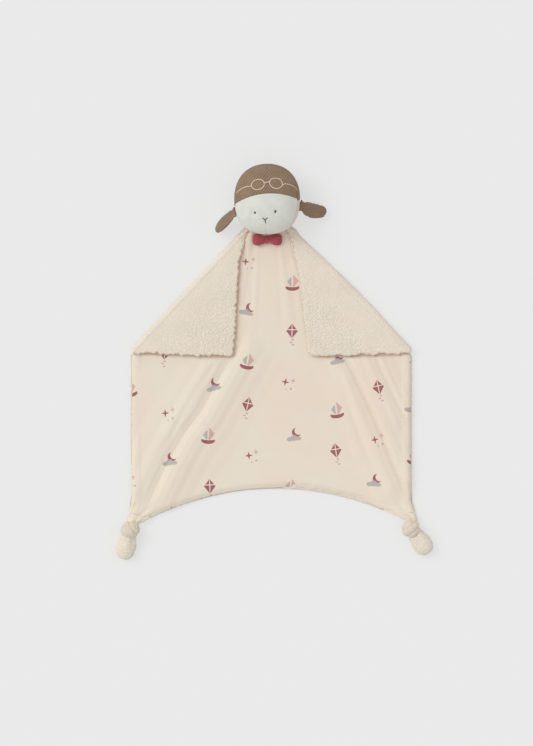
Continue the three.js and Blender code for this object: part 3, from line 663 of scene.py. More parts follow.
def velour_material(name):
    """Short cut velour: a dense matt nap with a soft sheen and faint brushed patches."""
    material, tree = new_material(name)
    place = add(tree, "ShaderNodeTexCoord", out=3)
    nap = blend_of(tree, patches(tree, place, 120.0, 3.0, 0.3, 0.7), colours().velour, linear("d6d8ce"))
    # The nap is near 0.05 mm, drawn at 0.4 mm so that it shows.
    fibres = add(tree, "ShaderNodeTexNoise", Vector=place, Scale=2400.0, Detail=2.0)
    looks = {"Roughness": 0.9, "Specular_IOR_Level": 0.2, "Sheen_Weight": 0.25, "Sheen_Roughness": 0.5}
    shade(tree, nap, fibres, 0.3, 0.15 * MM, **looks)
    return material


def cord_material(name, base, spacing, sheen, depth):
    """Ribbed cloth, corduroy or rib knit: lighter on the raised cords, with painted shade in the channels
    between.
    """
    material, tree = new_material(name)
    across = add(tree, "ShaderNodeAttribute", attribute_name="wale_place", out=2)
    place = add(tree, "ShaderNodeTexCoord", out=3)
    bent = add(tree, "ShaderNodeTexNoise", Vector=place, Scale=160.0, Detail=1.0)
    drift = add(tree, "ShaderNodeMath", bent, 1.2, -0.6, operation="MULTIPLY_ADD")
    angle = add(tree, "ShaderNodeMath", across, math.pi / spacing, drift, operation="MULTIPLY_ADD")
    wave = add(tree, "ShaderNodeMath", angle, operation="SINE")
    cord = add(tree, "ShaderNodeMath", wave, operation="ABSOLUTE")
    pile = add(tree, "ShaderNodeTexNoise", Vector=place, Scale=900.0, Detail=3.0)
    # Painted shade: the channels between the cords take the base colour darkened by the depth share.
    channel = add(tree, "ShaderNodeMapRange", cord, 0.05, 0.8)
    ribbed = blend_of(tree, channel, tinted(base, depth), base)
    rubbed = blend_of(tree, patches(tree, place, 90.0, 2.0, 0.45, 0.75, 0.6), ribbed, tinted(base, 1.12))
    pile_share = add(tree, "ShaderNodeMapRange", pile, 0.3, 0.7, 0.0, 0.25)
    mottled = blend_of(tree, pile_share, rubbed, tinted(base, depth))
    height = add(tree, "ShaderNodeMath", pile, 0.35, cord, operation="MULTIPLY_ADD")
    looks = {"Roughness": 0.9, "Specular_IOR_Level": 0.2, "Sheen_Weight": sheen, "Sheen_Roughness": 0.5}
    shade(tree, mottled, height, 0.5, 0.2 * MM, **looks)
    return material


def thread_material(name, base):
    """Satin-stitched rayon thread: smooth, with a soft shine along its fibres."""
    material, tree = new_material(name)
    place = add(tree, "ShaderNodeTexCoord", out=3)
    twist = add(tree, "ShaderNodeTexNoise", Vector=place, Scale=2600.0, Detail=2.0)
    share = add(tree, "ShaderNodeMapRange", twist, 0.3, 0.7, 0.0, 0.4)
    colour = blend_of(tree, share, base, tinted(base, 0.75))
    shade(tree, colour, twist, 0.3, 0.08 * MM, Roughness=0.45, Sheen_Weight=0.2)
    return material


def fibre_material(name):
    """Polyester fibre filling: white, matt and fluffy."""
    material, tree = new_material(name)
    place = add(tree, "ShaderNodeTexCoord", out=3)
    fluff = add(tree, "ShaderNodeTexNoise", Vector=place, Scale=300.0, Detail=4.0)
    shade(tree, blend_of(tree, fluff, linear("f4f4f0"), linear("e2e2dc")), fluff, 0.6, 1 * MM, Roughness=1.0)
    return material


@cache
def material_of(name):
    """Each finish is made once, on first use."""
    palette, wale = colours(), head_sizes().wale
    makers = {
        "sherpa_fleece": (sherpa_material, 1.0),
        # The knots' fleece is the same sherpa darkened by a factor, as painted shade.
        "knotted_fleece": (sherpa_material, 0.88),
        "cotton_jersey": (jersey_material, palette.jersey, True),
        # The turned edge's ground is darkened and made pinker, as painted shadow.
        "jersey_edge": (jersey_material, palette.painted_edge_shadow, False),
        # The nape's ground is partly painted shade and warm reflected light.
        "plain_jersey": (jersey_material, palette.nape, False),
        "cut_velour": (velour_material,),
        # The last number of each cord finish sets how dark the painted shade in its channels is.
        "cap_needlecord": (cord_material, palette.cap, wale, 0.1, 0.6),
        "ear_needlecord": (cord_material, palette.ear, wale, 0.1, 0.66),
        "rib_knit": (cord_material, palette.bow, trim_sizes().rib, 0.15, 0.5),
        "pale_rayon": (thread_material, palette.pale_thread),
        "dark_rayon": (thread_material, palette.dark_thread),
        "polyester_filling": (fibre_material,),
    }
    maker, *given = makers[name]
    return maker(name, *given)


# Blanket outline and folds


def neck(side):
    sizes = blanket_sizes()
    return np.array([head_sizes().x + side * sizes.neck_half_width, sizes.crease_top_y])


def crease(side):
    """The line of a fold: (top at the neck, end at the side edge, way along it, way out of the blanket)."""
    top, end = neck(side), crease_end(side)
    heading = unit(end - top)
    outward = np.array([heading[1], -heading[0]])
    return top, end, heading, outward * np.sign(outward[0]) * side


def fold_top(side):
    """The crease runs on past the neck, up to where the head covers it."""
    top, _, heading, _ = crease(side)
    return top - heading * FOLD_PAST_NECK


def crease_end(side):
    sizes = blanket_sizes()
    return np.array([side * sizes.side_x, sizes.crease_end_y])


def cloth_top():
    sizes = blanket_sizes()
    return sizes.sherpa + GAP + sizes.jersey


def knot_middle(side):
    sizes, trims = blanket_sizes(), trim_sizes()
    knot = KNOTS[side]
    x = side * (sizes.side_x + knot["out"] * MM)
    return np.array([x, sizes.side_end_y - knot["down"] * MM, trims.knot_height / 2 - 0.5 * MM])


def gather_frame(side):
    """Where the gathered cloth enters a knot: (middle, way back into the blanket, way out across it)."""
    trims = trim_sizes()
    middle = knot_middle(side)
    level = (cloth_top() - middle[2]) / (trims.knot_height / 2)
    reach = trims.knot_radius * math.sqrt(1 - level * level) + GAP
    way = unit(KNOTS[side]["gather"])
    return middle[:2] + way * reach, way, np.array([way[1], -way[0]]) * side


def gather_ends(side):
    """Outer and inner end of the line where the gathered cloth enters its knot."""
    seam, _, across = gather_frame(side)
    half = across * trim_sizes().gather_width / 2
    return seam + half, seam - half


def neck_seam_y():
    head = head_sizes()
    level = abs((cloth_top() - head_middle()[2]) / (head.depth / 2)) ** 2.2
    return head.y - head.height / 2 * (1 - level) ** (1 / 2.2) - GAP


def neck_arc():
    """The seam below the head, from right to left: where the head's underside meets the cloth."""
    head = head_sizes()
    share = (head.y - neck_seam_y()) / (head.height / 2)
    reach = np.linspace(0.86, -0.86, 15)
    out = head.width / 2 * share * reach
    up = head.height / 2 * share * (1 - np.abs(reach) ** 2.4) ** (1 / 2.4)
    tucked = 2 * MM  # the rounded edge of the cloth runs on under the head, as into a seam
    return np.column_stack([head.x + out, head.y - up + tucked])


def bottom_arc(inset):
    sizes = blanket_sizes()
    left, right = gather_ends(-1)[1], gather_ends(1)[1]
    control = np.array([0.0, 2 * (sizes.bottom_y + inset) - (left[1] + right[1]) / 2])
    return bezier(left, control, right, 90)


def corner_cut(side, inset, back=CUT_BACK * MM):
    """The line across a lower corner at a distance from its knot: (outer end, inner end, arc place)."""
    sizes = blanket_sizes()
    seam, way, _ = gather_frame(side)
    arc = bottom_arc(inset)
    place = next(i for i in range(len(arc))[::-side] if (arc[i] - seam) @ way >= back)
    start = np.array([side * (sizes.side_x - inset), sizes.side_end_y])
    end = gather_ends(side)[0]
    low, high = (end - seam) @ way, (start - seam) @ way
    return end + (start - end) * (back - low) / (high - low), arc[place], place


def crease_stop(side, inset):
    """Where the crease meets the cloth's side edge."""
    _, end, heading, _ = crease(side)
    return end - heading * max(inset, 0) / abs(heading[0])


def blanket_outline(inset, lower=0.0):
    """The main cloth without its folded corners: (points, True for each side that is a free edge). Its
    bottom edge can reach lower."""
    sizes = blanket_sizes()
    side = sizes.side_x - inset
    (left_out, _, first), (right_out, _, last) = corner_cut(-1, inset), corner_cut(1, inset)
    arc = bottom_arc(inset - lower)[first : last + 1]
    if lower:
        # Right of the middle, the sherpa shows past this edge.
        x = arc[:, 0]
        bare = smooth((x - 2 * MM) / (25 * MM)) * smooth((116 * MM - x) / (20 * MM))
        arc[:, 1] += 2.3 * MM * bare * (1 + 0.45 * ripple(x, 0 * x, 8, 14 * MM))
    kink = sizes.crease_end_y - 3 * MM
    left = [crease_stop(-1, inset), (-side, kink), (-side, sizes.side_end_y), left_out]
    right = [right_out, (side, sizes.side_end_y), (side, kink), crease_stop(1, inset)]
    points = np.array([fold_top(-1), *left, *arc, *right, fold_top(1), *neck_arc()])
    free = np.zeros(len(points), bool)
    for start, edges in ((1, 3), (5, len(arc) - 1), (5 + len(arc), 3)):
        free[start : start + edges] = True
    return points, free


def flap_outline(side, ragged=0.0, inset=0.0):
    """A folded corner: points from the neck round the loose corner to the crease's end."""
    sizes = blanket_sizes()
    corner = np.array([side * sizes.flap_corner_x, sizes.flap_corner_y])
    edge = mm(*FLAP_EDGES[side])
    beside = (edge[-1], crease_end(side))
    before, after = [corner + unit(p - corner) * sizes.flap_corner_radius for p in beside]
    loose = np.vstack([fold_top(side), edge, bezier(before, corner, after, 7), crease_end(side)])
    spaced = resample(loose, 1.0 * MM)
    heading = np.gradient(spaced, axis=0)
    outward = unit_rows(np.stack([heading[:, 1], -heading[:, 0]], 1))
    if np.sum((spaced - (neck(side) + crease_end(side)) / 2) * outward) < 0:
        outward = -outward
    number = np.arange(len(spaced))
    along = number * MM
    uneven = ripple(along, 0 * along, 3 + side, 5 * MM) + 0.8 * ripple(along, 0 * along, 9 + side, 17 * MM)
    shift = (uneven * ragged - ragged * 0.8 - inset) * smooth(np.minimum(number, number[::-1]) / 6)
    return spaced + outward * shift[:, None]


# Long soft folds: the line of each valley in millimetres, and the height of the cloth beside it. Places on
# the valley's left, seen along the line, are positive.
FOLDS = [
    (
        [(-26, 34), (-38, 12), (-56, -20), (-77, -58), (-95, -81), (-111, -109), (-123, -134), (-137, -165)],
        [-48, -30, -17, -10, -3, 0, 2.4, 7, 13, 18, 28, 42, 56],
        [0, 1.2, 3.2, 2.6, 0.8, 0, 2.0, 4.4, 5.1, 4.5, 2.4, 0.7, 0],
    ),
    (
        [
            (68, 26), (78, 7), (86, -8), (97, -30), (109, -56), (120, -82),
            (131, -110), (144, -140), (149, -152)
        ],
        [-40, -24, -12, -5, 0, 1.6, 5, 10, 16, 26, 38],
        [0, 1.0, 3.0, 2.0, 0, 2.2, 4.4, 4.3, 3.2, 1.7, 0.7],
    ),
    (
        [(106, 26), (112, 5), (121, -16), (131, -37), (141, -57), (149, -72)],
        [-18, -8, -3, 0, 1.6, 5, 10, 20],
        [0, 1.6, 1.1, -0.3, 1.6, 2.8, 1.8, 0.4],
    ),
    (
        [(72, -8), (82, -40), (93, -75), (106, -110)],
        [-16, -6, 0, 6, 16],
        [0, 0.3, -0.4, 0.5, 0],
    ),
    (
        [(-60, -2), (-80, -30), (-99, -62), (-112, -92)],
        [-14, -5, 0, 5, 14],
        [0, 0.35, -0.35, 0.35, 0],
    ),
]


def gather_rise(points, side):
    """How the cloth rises in pleats towards a knot."""
    seam, way, across = gather_frame(side)
    back = (points - seam) @ way
    places = np.linspace(0.5, 28, 20) * MM
    outer, inner = np.array([corner_cut(side, 0.0, b)[:2] for b in places]).transpose(1, 0, 2)
    middle = np.stack([np.interp(back, places, line) for line in (outer + inner).T / 2], 1)
    half = np.interp(back, places, np.linalg.norm(outer - inner, axis=1) / 2)
    out = ((points - middle) @ across) / half
    waves = np.sin(out * 8 + side) + 0.5 * np.sin(out * 13.5)
    pleats = 0.75 * MM * waves * smooth((27 * MM - back) / (22 * MM))
    lifted = 4.0 * MM * smooth(1 - back / (17 * MM))
    # The outer rims stay low.
    return (pleats + lifted) * smooth((1.12 - np.abs(out)) / 0.3)


def rise(points, gathered=True):
    """Height of the folds and gathers over the flat cloth. The cloth under the folded corners stays flat."""
    head = head_sizes()
    total = np.zeros(len(points))
    for line, places, heights in FOLDS:
        distance, _, share, side = to_line(points, resample(mm(*line), 4 * MM))
        fade = smooth(share / 0.1) * smooth((1 - share) / 0.12)
        total += profile(distance * side / MM, places, heights) * MM * fade
    x, y = points.T
    # Gathers that fan out from the neck
    fan = (x - head.x) / (0.55 + np.clip((neck_seam_y() - y) / (170 * MM), 0, 1))
    strength = smooth((y - 10 * MM) / (70 * MM)) * smooth((np.abs(x - head.x) - 7 * MM) / (8 * MM))
    total += 0.55 * MM * strength * np.sin(fan / (2.6 * MM)) * (1 + 0.4 * ripple(x, y, 5, 60 * MM))
    total += 0.35 * MM * ripple(x, y, 11, 75 * MM)
    cover, meeting = np.ones(len(points)), np.zeros(len(points))
    for side in (-1, 1):
        outline = flap_outline(side)
        near = to_line(points, outline, closed=True)[0]
        outside = ~inside(points, outline)
        cover *= np.where(outside, smooth(near / (4.5 * MM)), 0)
        ramp = smooth(near / (0.5 * MM)) * hump(near, 0, 9 * MM)
        meeting += 3.3 * MM * outside * ramp * smooth((y - 112 * MM) / (16 * MM))
    total = np.maximum(total, -0.3 * MM) * cover + meeting
    for side in (-1, 1):
        seam, way, _ = gather_frame(side)
        near = (points - seam) @ way < 28 * MM
        if gathered and near.any():
            total[near] += gather_rise(points[near], side)
    return total


def to_valleys(points, reach, rim):
    """Moves the points near a fold's valley onto it, so that the valley stays crisp."""
    points = points.copy()
    loose = np.ones(len(points), bool)
    loose[rim] = False
    for line, _, _ in FOLDS[:3]:
        distance, foot, _, _ = to_line(points, resample(mm(*line), 4 * MM))
        near = (distance < reach) & loose
        points[near] = foot[near]
    return points


def at_sides(points):
    """1 away from the bottom edge's arc, and 0 along it."""
    return smooth((to_line(points, bottom_arc(0.0))[0] - 5 * MM) / (8 * MM))


def free_edge(points, outline, free):
    """Distance to the nearest free edge, and the way to it."""
    distance, way = np.full(len(points), np.inf), np.zeros_like(points)
    ends = np.vstack([outline, outline[:1]])
    for i in np.flatnonzero(free):
        reach, foot, _, _ = to_line(points, ends[i : i + 2])
        nearer = reach < distance
        distance[nearer] = reach[nearer]
        way[nearer] = (foot - points)[nearer]
    size = np.linalg.norm(way, axis=1)
    outward = way / np.maximum(size, 1e-9)[:, None]
    # A point on the edge itself takes the way of the nearest inner point.
    on_edge = size < 1e-7
    nearest, _ = nearest_of(points[on_edge], points[~on_edge])
    outward[on_edge] = outward[~on_edge][nearest]
    return distance, outward


def rounding(distance, radius):
    """A rounded edge: (share of the full height, slope share outward) at a distance from the edge."""
    inward = np.clip(distance / radius, 0, 1)
    return np.sqrt(1 - (1 - inward) ** 2), 1 - inward


def pile_values(flat, level, outward, tilt, share, side):
    """What the pile needs: its place on the unrolled cloth, the way it stands, and how much there is."""
    upright = side * np.sqrt(np.maximum(0, 1 - tilt**2))
    normal = np.column_stack([outward * tilt[:, None], upright])
    return {"pile_place": np.column_stack([flat, level]), "pile_normal": normal, "pile_share": share}


def grow_curls(obj, size=1.0, height=1.0, seed=1.0):
    """Grows the sherpa's pile, the size and height of its curls as shares of the usual ones."""
    sizes = blanket_sizes()
    return grow(obj, curls_tree(), curl_size=sizes.curl * size, pile_height=sizes.pile * height, seed=seed)


# Pieces of the blanket


def back_cloth():
    """The main sherpa cloth: pile below and round the free edges, plain backing above."""
    sizes = blanket_sizes()
    outline, free = blanket_outline(-RIM)
    points, cells, rim = filled(outline, 1.3 * MM)
    distance, outward = free_edge(points, outline, free)
    full, tilt = rounding(distance, sizes.sherpa * 0.55)
    middle, half = sizes.sherpa / 2 + 0.2 * MM, sizes.sherpa / 2 - 0.2 * MM
    at_side = at_sides(points)
    roll = -(0.1 * at_side + 1.5 * (1 - at_side)) * MM * hump(distance, 1.6 * MM, 3.2 * MM)
    upper = np.column_stack([points, middle + half * full + roll + rise(points)])
    lower = np.column_stack([points, middle - half * full + rise(points, gathered=False) * 0.9])
    above = pile_values(points, upper[:, 2], outward, tilt, smooth(1 - distance / (6 * MM)), 1)
    below = pile_values(points, lower[:, 2], outward, tilt, np.ones(len(points)), -1)
    obj = cloth_object("blanket_back", "sherpa_fleece", upper, lower, cells, rim, above, below)
    return grow_curls(obj, 1.25), area_of(outline)


def front_cloth():
    """The main jersey cloth, with the folds, turned in at its free edges."""
    sizes = blanket_sizes()
    outline, free = blanket_outline(-0.9 * MM, lower=0.6 * MM)
    step = 1.22 * MM
    points, cells, rim = filled(outline, step)
    points = to_valleys(points, step / 2, rim)
    lift = rise(points)
    distance, _ = free_edge(points, outline, free)
    at_side = at_sides(points)
    at_arc = 1 - at_side
    turned = -(1.1 * at_side + 2.5 * at_arc) * MM * (1 - smooth(distance / ((3.2 + 2.2 * at_arc) * MM)))
    # The turned edge lies under a band of the side edges.
    seam = at_side * MM * (0.7 * smooth(distance / (3 * MM)) * (1 - smooth((distance - 7 * MM) / (3 * MM))))
    creases = 0.25 * MM * ripple(*points.T, 21, 24 * MM) * smooth(1 - distance / (22 * MM))
    top = cloth_top() + lift + turned + (seam + creases) * (lift > 0.02 * MM)
    under = np.minimum(np.minimum(top - sizes.jersey, sizes.sherpa + GAP + lift), top - 0.5 * MM)
    upper, lower = np.column_stack([points, top]), np.column_stack([points, under])
    obj = cloth_object("blanket_front", "cotton_jersey", upper, lower, cells, rim, {"pile_place": upper})
    return obj, area_of(outline)


# How far the sherpa's bend stands out past the crease, by distance from the neck, in millimetres
BEND_REACH = {
    -1: ([-11, 0, 45, 84, 119, 172], [5.2, 5.45, 5.6, 6.0, 5.9, 5.6]),
    1: ([-11, -5, 3, 30, 72, 112, 150, 178], [7.4, 8.6, 6.6, 7.4, 8.4, 8.2, 6.2, 5.45]),
}


def bend(side, layer):
    """The half-round bend of one cloth round the crease, from the main cloth to the folded corner."""
    sizes = blanket_sizes()
    top, end, heading, outward = crease(side)
    total = np.linalg.norm(end - top)
    full = cloth_top() + GAP / 2
    radius, thickness, step, turns, finish, pile = {
        "sherpa": (full, sizes.sherpa, 0.6 * MM, 30, "sherpa_fleece", 0.45),
        "jersey": (sizes.jersey + GAP / 2, sizes.jersey, 1.6 * MM, 8, "cotton_jersey", 0.0),
    }[layer]
    along = np.linspace(-FOLD_PAST_NECK, total, int((total + FOLD_PAST_NECK) / step) + 1)
    angle = np.linspace(0, math.pi, turns + 1)
    s, a = [grid.ravel() for grid in np.meshgrid(along, angle, indexing="ij")]
    stand = 1.0
    if layer == "sherpa":
        # Near the side edge the bend stays inside that edge.
        limit = (total - s) * abs(heading[0]) / abs(heading[1]) + RIM
        stand = np.minimum(np.interp(s / MM, *BEND_REACH[side]) * MM, limit) / full
    base = top + s[:, None] * heading
    shells = []
    for r in (radius, radius - thickness):
        out = r * np.sin(a) * stand
        shells.append(np.column_stack([base + out[:, None] * outward, full + r * np.cos(a)]))
    cells = quads(np.arange(len(s)).reshape(len(along), -1)).reshape(-1, 4)[:, ::-side]
    # Unrolled, the bend carries on the underside of the main cloth.
    unrolled = base + ((math.pi - a) * full)[:, None] * outward
    values = {
        "pile_place": np.column_stack([unrolled, np.full(len(s), 0.4 * MM)]),
        "pile_normal": np.column_stack([np.sin(a)[:, None] * outward, np.cos(a)]),
        "pile_share": np.full(len(s), pile),
    }
    inner = dict(values, pile_share=0 * s)
    name = f"{SIDE_NAME[side]}_fold_{layer}"
    obj = cloth_object(name, finish, *shells, cells, rim_edges(cells, len(s)), values, inner)
    return grow_curls(obj) if layer == "sherpa" else obj


def folded_place(side, points):
    """The place of a folded point on the unrolled cloth, past the crease and the bend."""
    top, _, heading, outward = crease(side)
    along, inward = (points - top) @ heading, -(points - top) @ outward
    bend_length = math.pi * (cloth_top() + GAP / 2)
    return top + along[:, None] * heading + (bend_length + inward)[:, None] * outward


def flap_cells(side, step, ragged, inset=0.0):
    """Cells of a folded corner: (outline, points, cells, rim, distance to the loose edge, the way to it)."""
    outline = flap_outline(side, ragged, inset)
    points, cells, rim = filled(outline, step, crease(side)[2])
    loose = [True] * (len(outline) - 1) + [False]
    return outline, points, cells, rim, *free_edge(points, outline, loose)


def flap_sherpa(side):
    """The sherpa of a folded corner: pile above and round its loose edges."""
    sizes = blanket_sizes()
    outline, points, cells, rim, distance, outward = flap_cells(side, 0.47 * MM, 0.85 * MM)
    x, y = points.T
    near_neck = 1 - smooth((fold_top(side)[1] - y) / (26 * MM))
    full, tilt = rounding(distance, sizes.sherpa * 0.5 + 7 * MM * near_neck)
    middle = cloth_top() + GAP + sizes.jersey + GAP + sizes.sherpa / 2
    from_crease = to_line(points, np.array([fold_top(side), crease_end(side)]))[0]
    soft = 0.5 * MM * (ripple(x, y, 31 + side, 46 * MM) + 0.5) * smooth(from_crease / (12 * MM))
    upper = np.column_stack([points, middle + sizes.sherpa / 2 * full + soft * full])
    lower = np.column_stack([points, middle - sizes.sherpa / 2 * full])
    place = folded_place(side, points)
    calm = 0.45 + 0.55 * smooth((from_crease - 8 * MM) / (34 * MM))
    above = pile_values(place, 0 * x + 0.4 * MM, outward, tilt, calm, 1)
    below = pile_values(place, 0 * x + 2 * MM, outward, tilt, smooth(1 - distance / (2 * MM)), -1)
    name = f"{SIDE_NAME[side]}_corner_sherpa"
    obj = cloth_object(name, "sherpa_fleece", upper, lower, cells, rim, above, below)
    return grow_curls(obj), area_of(outline)


def flap_jersey(side):
    """The jersey of a folded corner, which shows as a thin turned edge under the sherpa."""
    outline, points, cells, rim, distance, _ = flap_cells(side, 1.6 * MM, 0.18 * MM, inset=-0.25 * MM)
    half = blanket_sizes().jersey / 2
    reach = half * (0.4 + 0.6 * rounding(distance, 0.8 * MM)[0])
    upper, lower = [np.column_stack([points, cloth_top() + GAP + half + sign * reach]) for sign in (1, -1)]
    values = {"pile_place": np.column_stack([folded_place(side, points), 0 * distance])}
    name = f"{SIDE_NAME[side]}_corner_jersey"
    return cloth_object(name, "cotton_jersey", upper, lower, cells, rim, values), area_of(outline)


def flap_edge(side, part):
    """The turned edge of the jersey round a folded corner, as a thin roll. Its main part is painted pinkish
    brown as the shadow along the edges facing away from the light. Its part near the neck is cream, wider, and
    starts under the head."""
    first, last, finish, inset, wider = EDGE_PARTS[side][part]
    line = flap_outline(side, 0.18 * MM, inset * MM)[first:last]
    if part == "neck_edge":
        line = np.vstack([line[0] + unit(line[0] - line[1]) * 4 * MM, line])
    line = resample(line, 1.2 * MM)
    # It is fuller near the neck, where the cloth below rises to meet it.
    full = smooth((line[:, 1] - 105 * MM) / (14 * MM))
    height = cloth_top() + GAP + (0.6 + 1.0 * full) * MM
    half_width, half_height = (0.9 + wider * full) * MM, (0.5 + 0.9 * full) * MM
    path = np.column_stack([line, height])
    heading = unit_rows(np.gradient(path, axis=0))
    across = unit_rows(np.cross([0.0, 0.0, 1.0], heading))
    above = np.cross(heading, across)
    angle = np.arange(8) * 2 * math.pi / 8
    number = np.arange(len(line))
    taper = np.clip(np.minimum(number, number[::-1]) / 4, 0.05, 1) ** 0.5
    rings = (
        path[:, None]
        + across[:, None] * (np.cos(angle)[:, None] * (half_width * taper)[:, None, None])
        + above[:, None] * (np.sin(angle)[:, None] * (half_height * taper)[:, None, None])
    )
    points, faces = tube(rings)
    values = {"pile_place": points * (1, 1, 0)}
    return mesh_object(f"{SIDE_NAME[side]}_corner_{part}", points, faces, finish, values)


def tube(rings):
    """A closed skin over rings of points, each ring turning the same way: (points, faces)."""
    index = np.arange(rings[..., 0].size).reshape(rings.shape[:2])
    sides = quads(np.pad(index, ((0, 0), (0, 1)), mode="wrap"), flip=True).reshape(-1, 4)
    points = np.vstack([rings.reshape(-1, 3), rings[0].mean(0), rings[-1].mean(0)])
    caps = [(index.size, b, a) for a, b in zip(index[0], np.roll(index[0], -1))]
    caps += [(index.size + 1, a, b) for a, b in zip(index[-1], np.roll(index[-1], -1))]
    return points, [*sides, *caps]


# Stuffed forms


CLOTH_FRAMES = 20
CLOTH_PRESSURE = 4


def inflated(name, points, faces, voxel, cap):
    """The same form as stuffed cloth: remeshed, pressed outwards as cloth, and held within a cap of its start.
    Forms this small hardly swell, by about 0.01 mm and nowhere by 0.2 mm, so they stay nearly as they start."""
    scene = bpy.context.scene
    mesh = bpy.data.meshes.new(name)
    mesh.from_pydata(np.asarray(points).tolist(), [], [list(map(int, f)) for f in faces])
    obj = bpy.data.objects.new(name, mesh)
    scene.collection.objects.link(obj)
    remesh = obj.modifiers.new("Remesh", "REMESH")
    remesh.mode = "VOXEL"
    remesh.voxel_size = voxel
    settle(obj)
    start = np.array([v.co for v in obj.data.vertices])
    cloth = obj.modifiers.new("Cloth", "CLOTH")
    cloth.settings.use_pressure = True
    cloth.settings.uniform_pressure_force = CLOTH_PRESSURE
    cloth.settings.effector_weights.gravity = 0
    cloth.settings.quality = 5
    cloth.collision_settings.use_collision = False
    cloth.point_cache.frame_start, cloth.point_cache.frame_end = 1, CLOTH_FRAMES
    for number in range(1, CLOTH_FRAMES + 1):
        scene.frame_set(number)
    settle(obj)
    scene.frame_set(1)
    step = np.array([v.co for v in obj.data.vertices]) - start
    size = np.linalg.norm(step, axis=1)
    held = start + step * np.minimum(1, cap / np.maximum(size, 1e-9))[:, None]
    obj.data.vertices.foreach_set("co", held.ravel())
    soft = obj.modifiers.new("Subdivision", "SUBSURF")
    soft.levels = soft.render_levels = 1
    settle(obj)
    verts = [v.co.copy() for v in obj.data.vertices]
    made = BVHTree.FromPolygons(verts, [tuple(p.vertices) for p in obj.data.polygons])
    print(name, "swelled by", round(float(np.median(size)) / MM, 2), "mm, held at", cap / MM)
    bpy.data.objects.remove(obj)
    return made


def cast(tree, origins, ways, fallback):
    """Distance from each origin to the stuffed form along its way, or the fallback where there is none."""
    if tree is None:
        return fallback
    found = np.array(fallback, float)
    origins = np.broadcast_to(origins, ways.shape)
    for i, (origin, way) in enumerate(zip(origins.tolist(), ways.tolist())):
        hit = tree.ray_cast(Vector(origin), Vector(way))
        if hit[0] is not None and abs(hit[3] - fallback[i]) < 0.25 * fallback[i] + 1.0 * MM:
            found[i] = hit[3]
    return found


def station_sizes(stations, count):
    """Places along a length, and their smooth half widths and half thicknesses, from a few stations."""
    places, *columns = np.array(stations, float).T
    # More rings towards the rounded end
    u = places[0] + (places[-1] - places[0]) * (1 - (1 - np.linspace(0, 1, count)) ** 1.35)
    k = np.clip(np.searchsorted(places, u, side="right") - 1, 0, len(places) - 2)
    h = places[k + 1] - places[k]
    s = (u - places[k]) / h
    sizes = [u]
    for values in columns:
        slopes = np.gradient(values, places)
        value = (
            (2 * s**3 - 3 * s**2 + 1) * values[k]
            + (s**3 - 2 * s**2 + s) * h * slopes[k]
            + (-2 * s**3 + 3 * s**2) * values[k + 1]
            + (s**3 - s**2) * h * slopes[k + 1]
        )
        sizes.append(np.maximum(value, values.min() * 0.5))
    return sizes


def soft_form(name, stations, origin, along, wide, rings, sides, voxel, cap):
    """A stuffed form with oval sections: (rings of points, and for each point its place along the form, its
    angle and the way it faces)."""
    thick = np.cross(along, wide)
    u, half_width, half_thickness = station_sizes(stations, rings)
    uu, aa = np.meshgrid(u, np.arange(sides) * 2 * math.pi / sides, indexing="ij")
    section = wide * np.cos(aa)[..., None] * half_width[:, None, None]
    section = section + thick * np.sin(aa)[..., None] * half_thickness[:, None, None]
    axis = origin + along * uu[..., None]
    # The simulated form is a little thinner than the plain one.
    points, faces = tube(axis[::3] + section[::3] * 0.95)
    tree = inflated(name, points, faces, voxel, cap)
    reach = np.linalg.norm(section, axis=-1)
    ways = section / reach[..., None]
    found = cast(tree, axis.reshape(-1, 3), ways.reshape(-1, 3), reach.ravel()).reshape(reach.shape)
    # The simulated skin is trusted in the middle, and the plain form towards both ends.
    share = (u - u[0]) / (u[-1] - u[0])
    trust = smooth(share / 0.15) * smooth((1 - share) / 0.15)
    found = reach + (found - reach) * trust[:, None]
    return axis + ways * found[..., None], uu, aa, ways


# Head


def head_middle():
    head = head_sizes()
    return np.array([head.x, head.y, head.depth / 2 - 0.5 * MM])


def head_reach(ways):
    """Distance from the head's middle to its plain surface, for unit directions."""
    share = np.abs(ways) / half_of(ways)
    full = fullness_of(ways[:, 1])
    plan = (share[:, 0] ** full + share[:, 1] ** full) ** (2.2 / full)
    return (plan + share[:, 2] ** 2.2) ** (-1 / 2.2)


def half_of(ways):
    """Half sizes of the head by direction: a little fuller on the left cheek, and flatter at the top."""
    head = head_sizes()
    half = np.repeat(np.array([[head.width, head.height, head.depth]]) / 2, len(ways), 0)
    half[:, 0] += np.where(ways[:, 0] < 0, 0.7 * MM, 0)
    half[:, 1] -= np.where(ways[:, 1] > 0, 0.9 * MM, 0)
    return half


def fullness_of(y):
    """The cheeks are squarer than the top of the cap."""
    return np.where(y < 0, 2.4, 2.18)


def on_face(x, y):
    """Point and outward normal on the front of the plain head, from its place in the front view."""
    half = half_of(np.array([[x, y, 0.0]]))[0]
    full = float(fullness_of(y))
    shares = np.abs([x, y]) / half[:2]
    plan = np.sum(shares**full)
    z = half[2] * max(1 - plan ** (2.2 / full), 1e-4) ** (1 / 2.2)
    base = plan ** (2.2 / full - 1) if plan > 0 else 0.0
    flat = np.sign([x, y]) * base * shares ** (full - 1) / half[:2]
    return np.array([x, y, z]), unit([*flat, (z / half[2]) ** 1.2 / half[2]])


def seam_heights(local):
    """Signed distances to the head's seams: side seam, brim, middle of the cap, and nape."""
    x, y, z = local.T
    under_chin = 4.0 * np.minimum(y, 0) ** 2
    side_seam = z - 9 * MM - math.tan(math.radians(6)) * x + under_chin
    brim = np.hypot(x - 4 * MM, y - (5.9 - 77) * MM) - 77 * MM
    return side_seam, brim, x, y + 5.3 * MM - 0.1 * x


def ball_of(subdivisions):
    """A ball of even triangles: (unit directions, triangles)."""
    ball = bmesh.new()
    bmesh.ops.create_icosphere(ball, subdivisions=subdivisions, radius=1.0)
    ways = unit_rows(np.array([v.co for v in ball.verts]))
    triangles = np.array([[v.index for v in f.verts] for f in ball.faces])
    ball.free()
    return ways, triangles


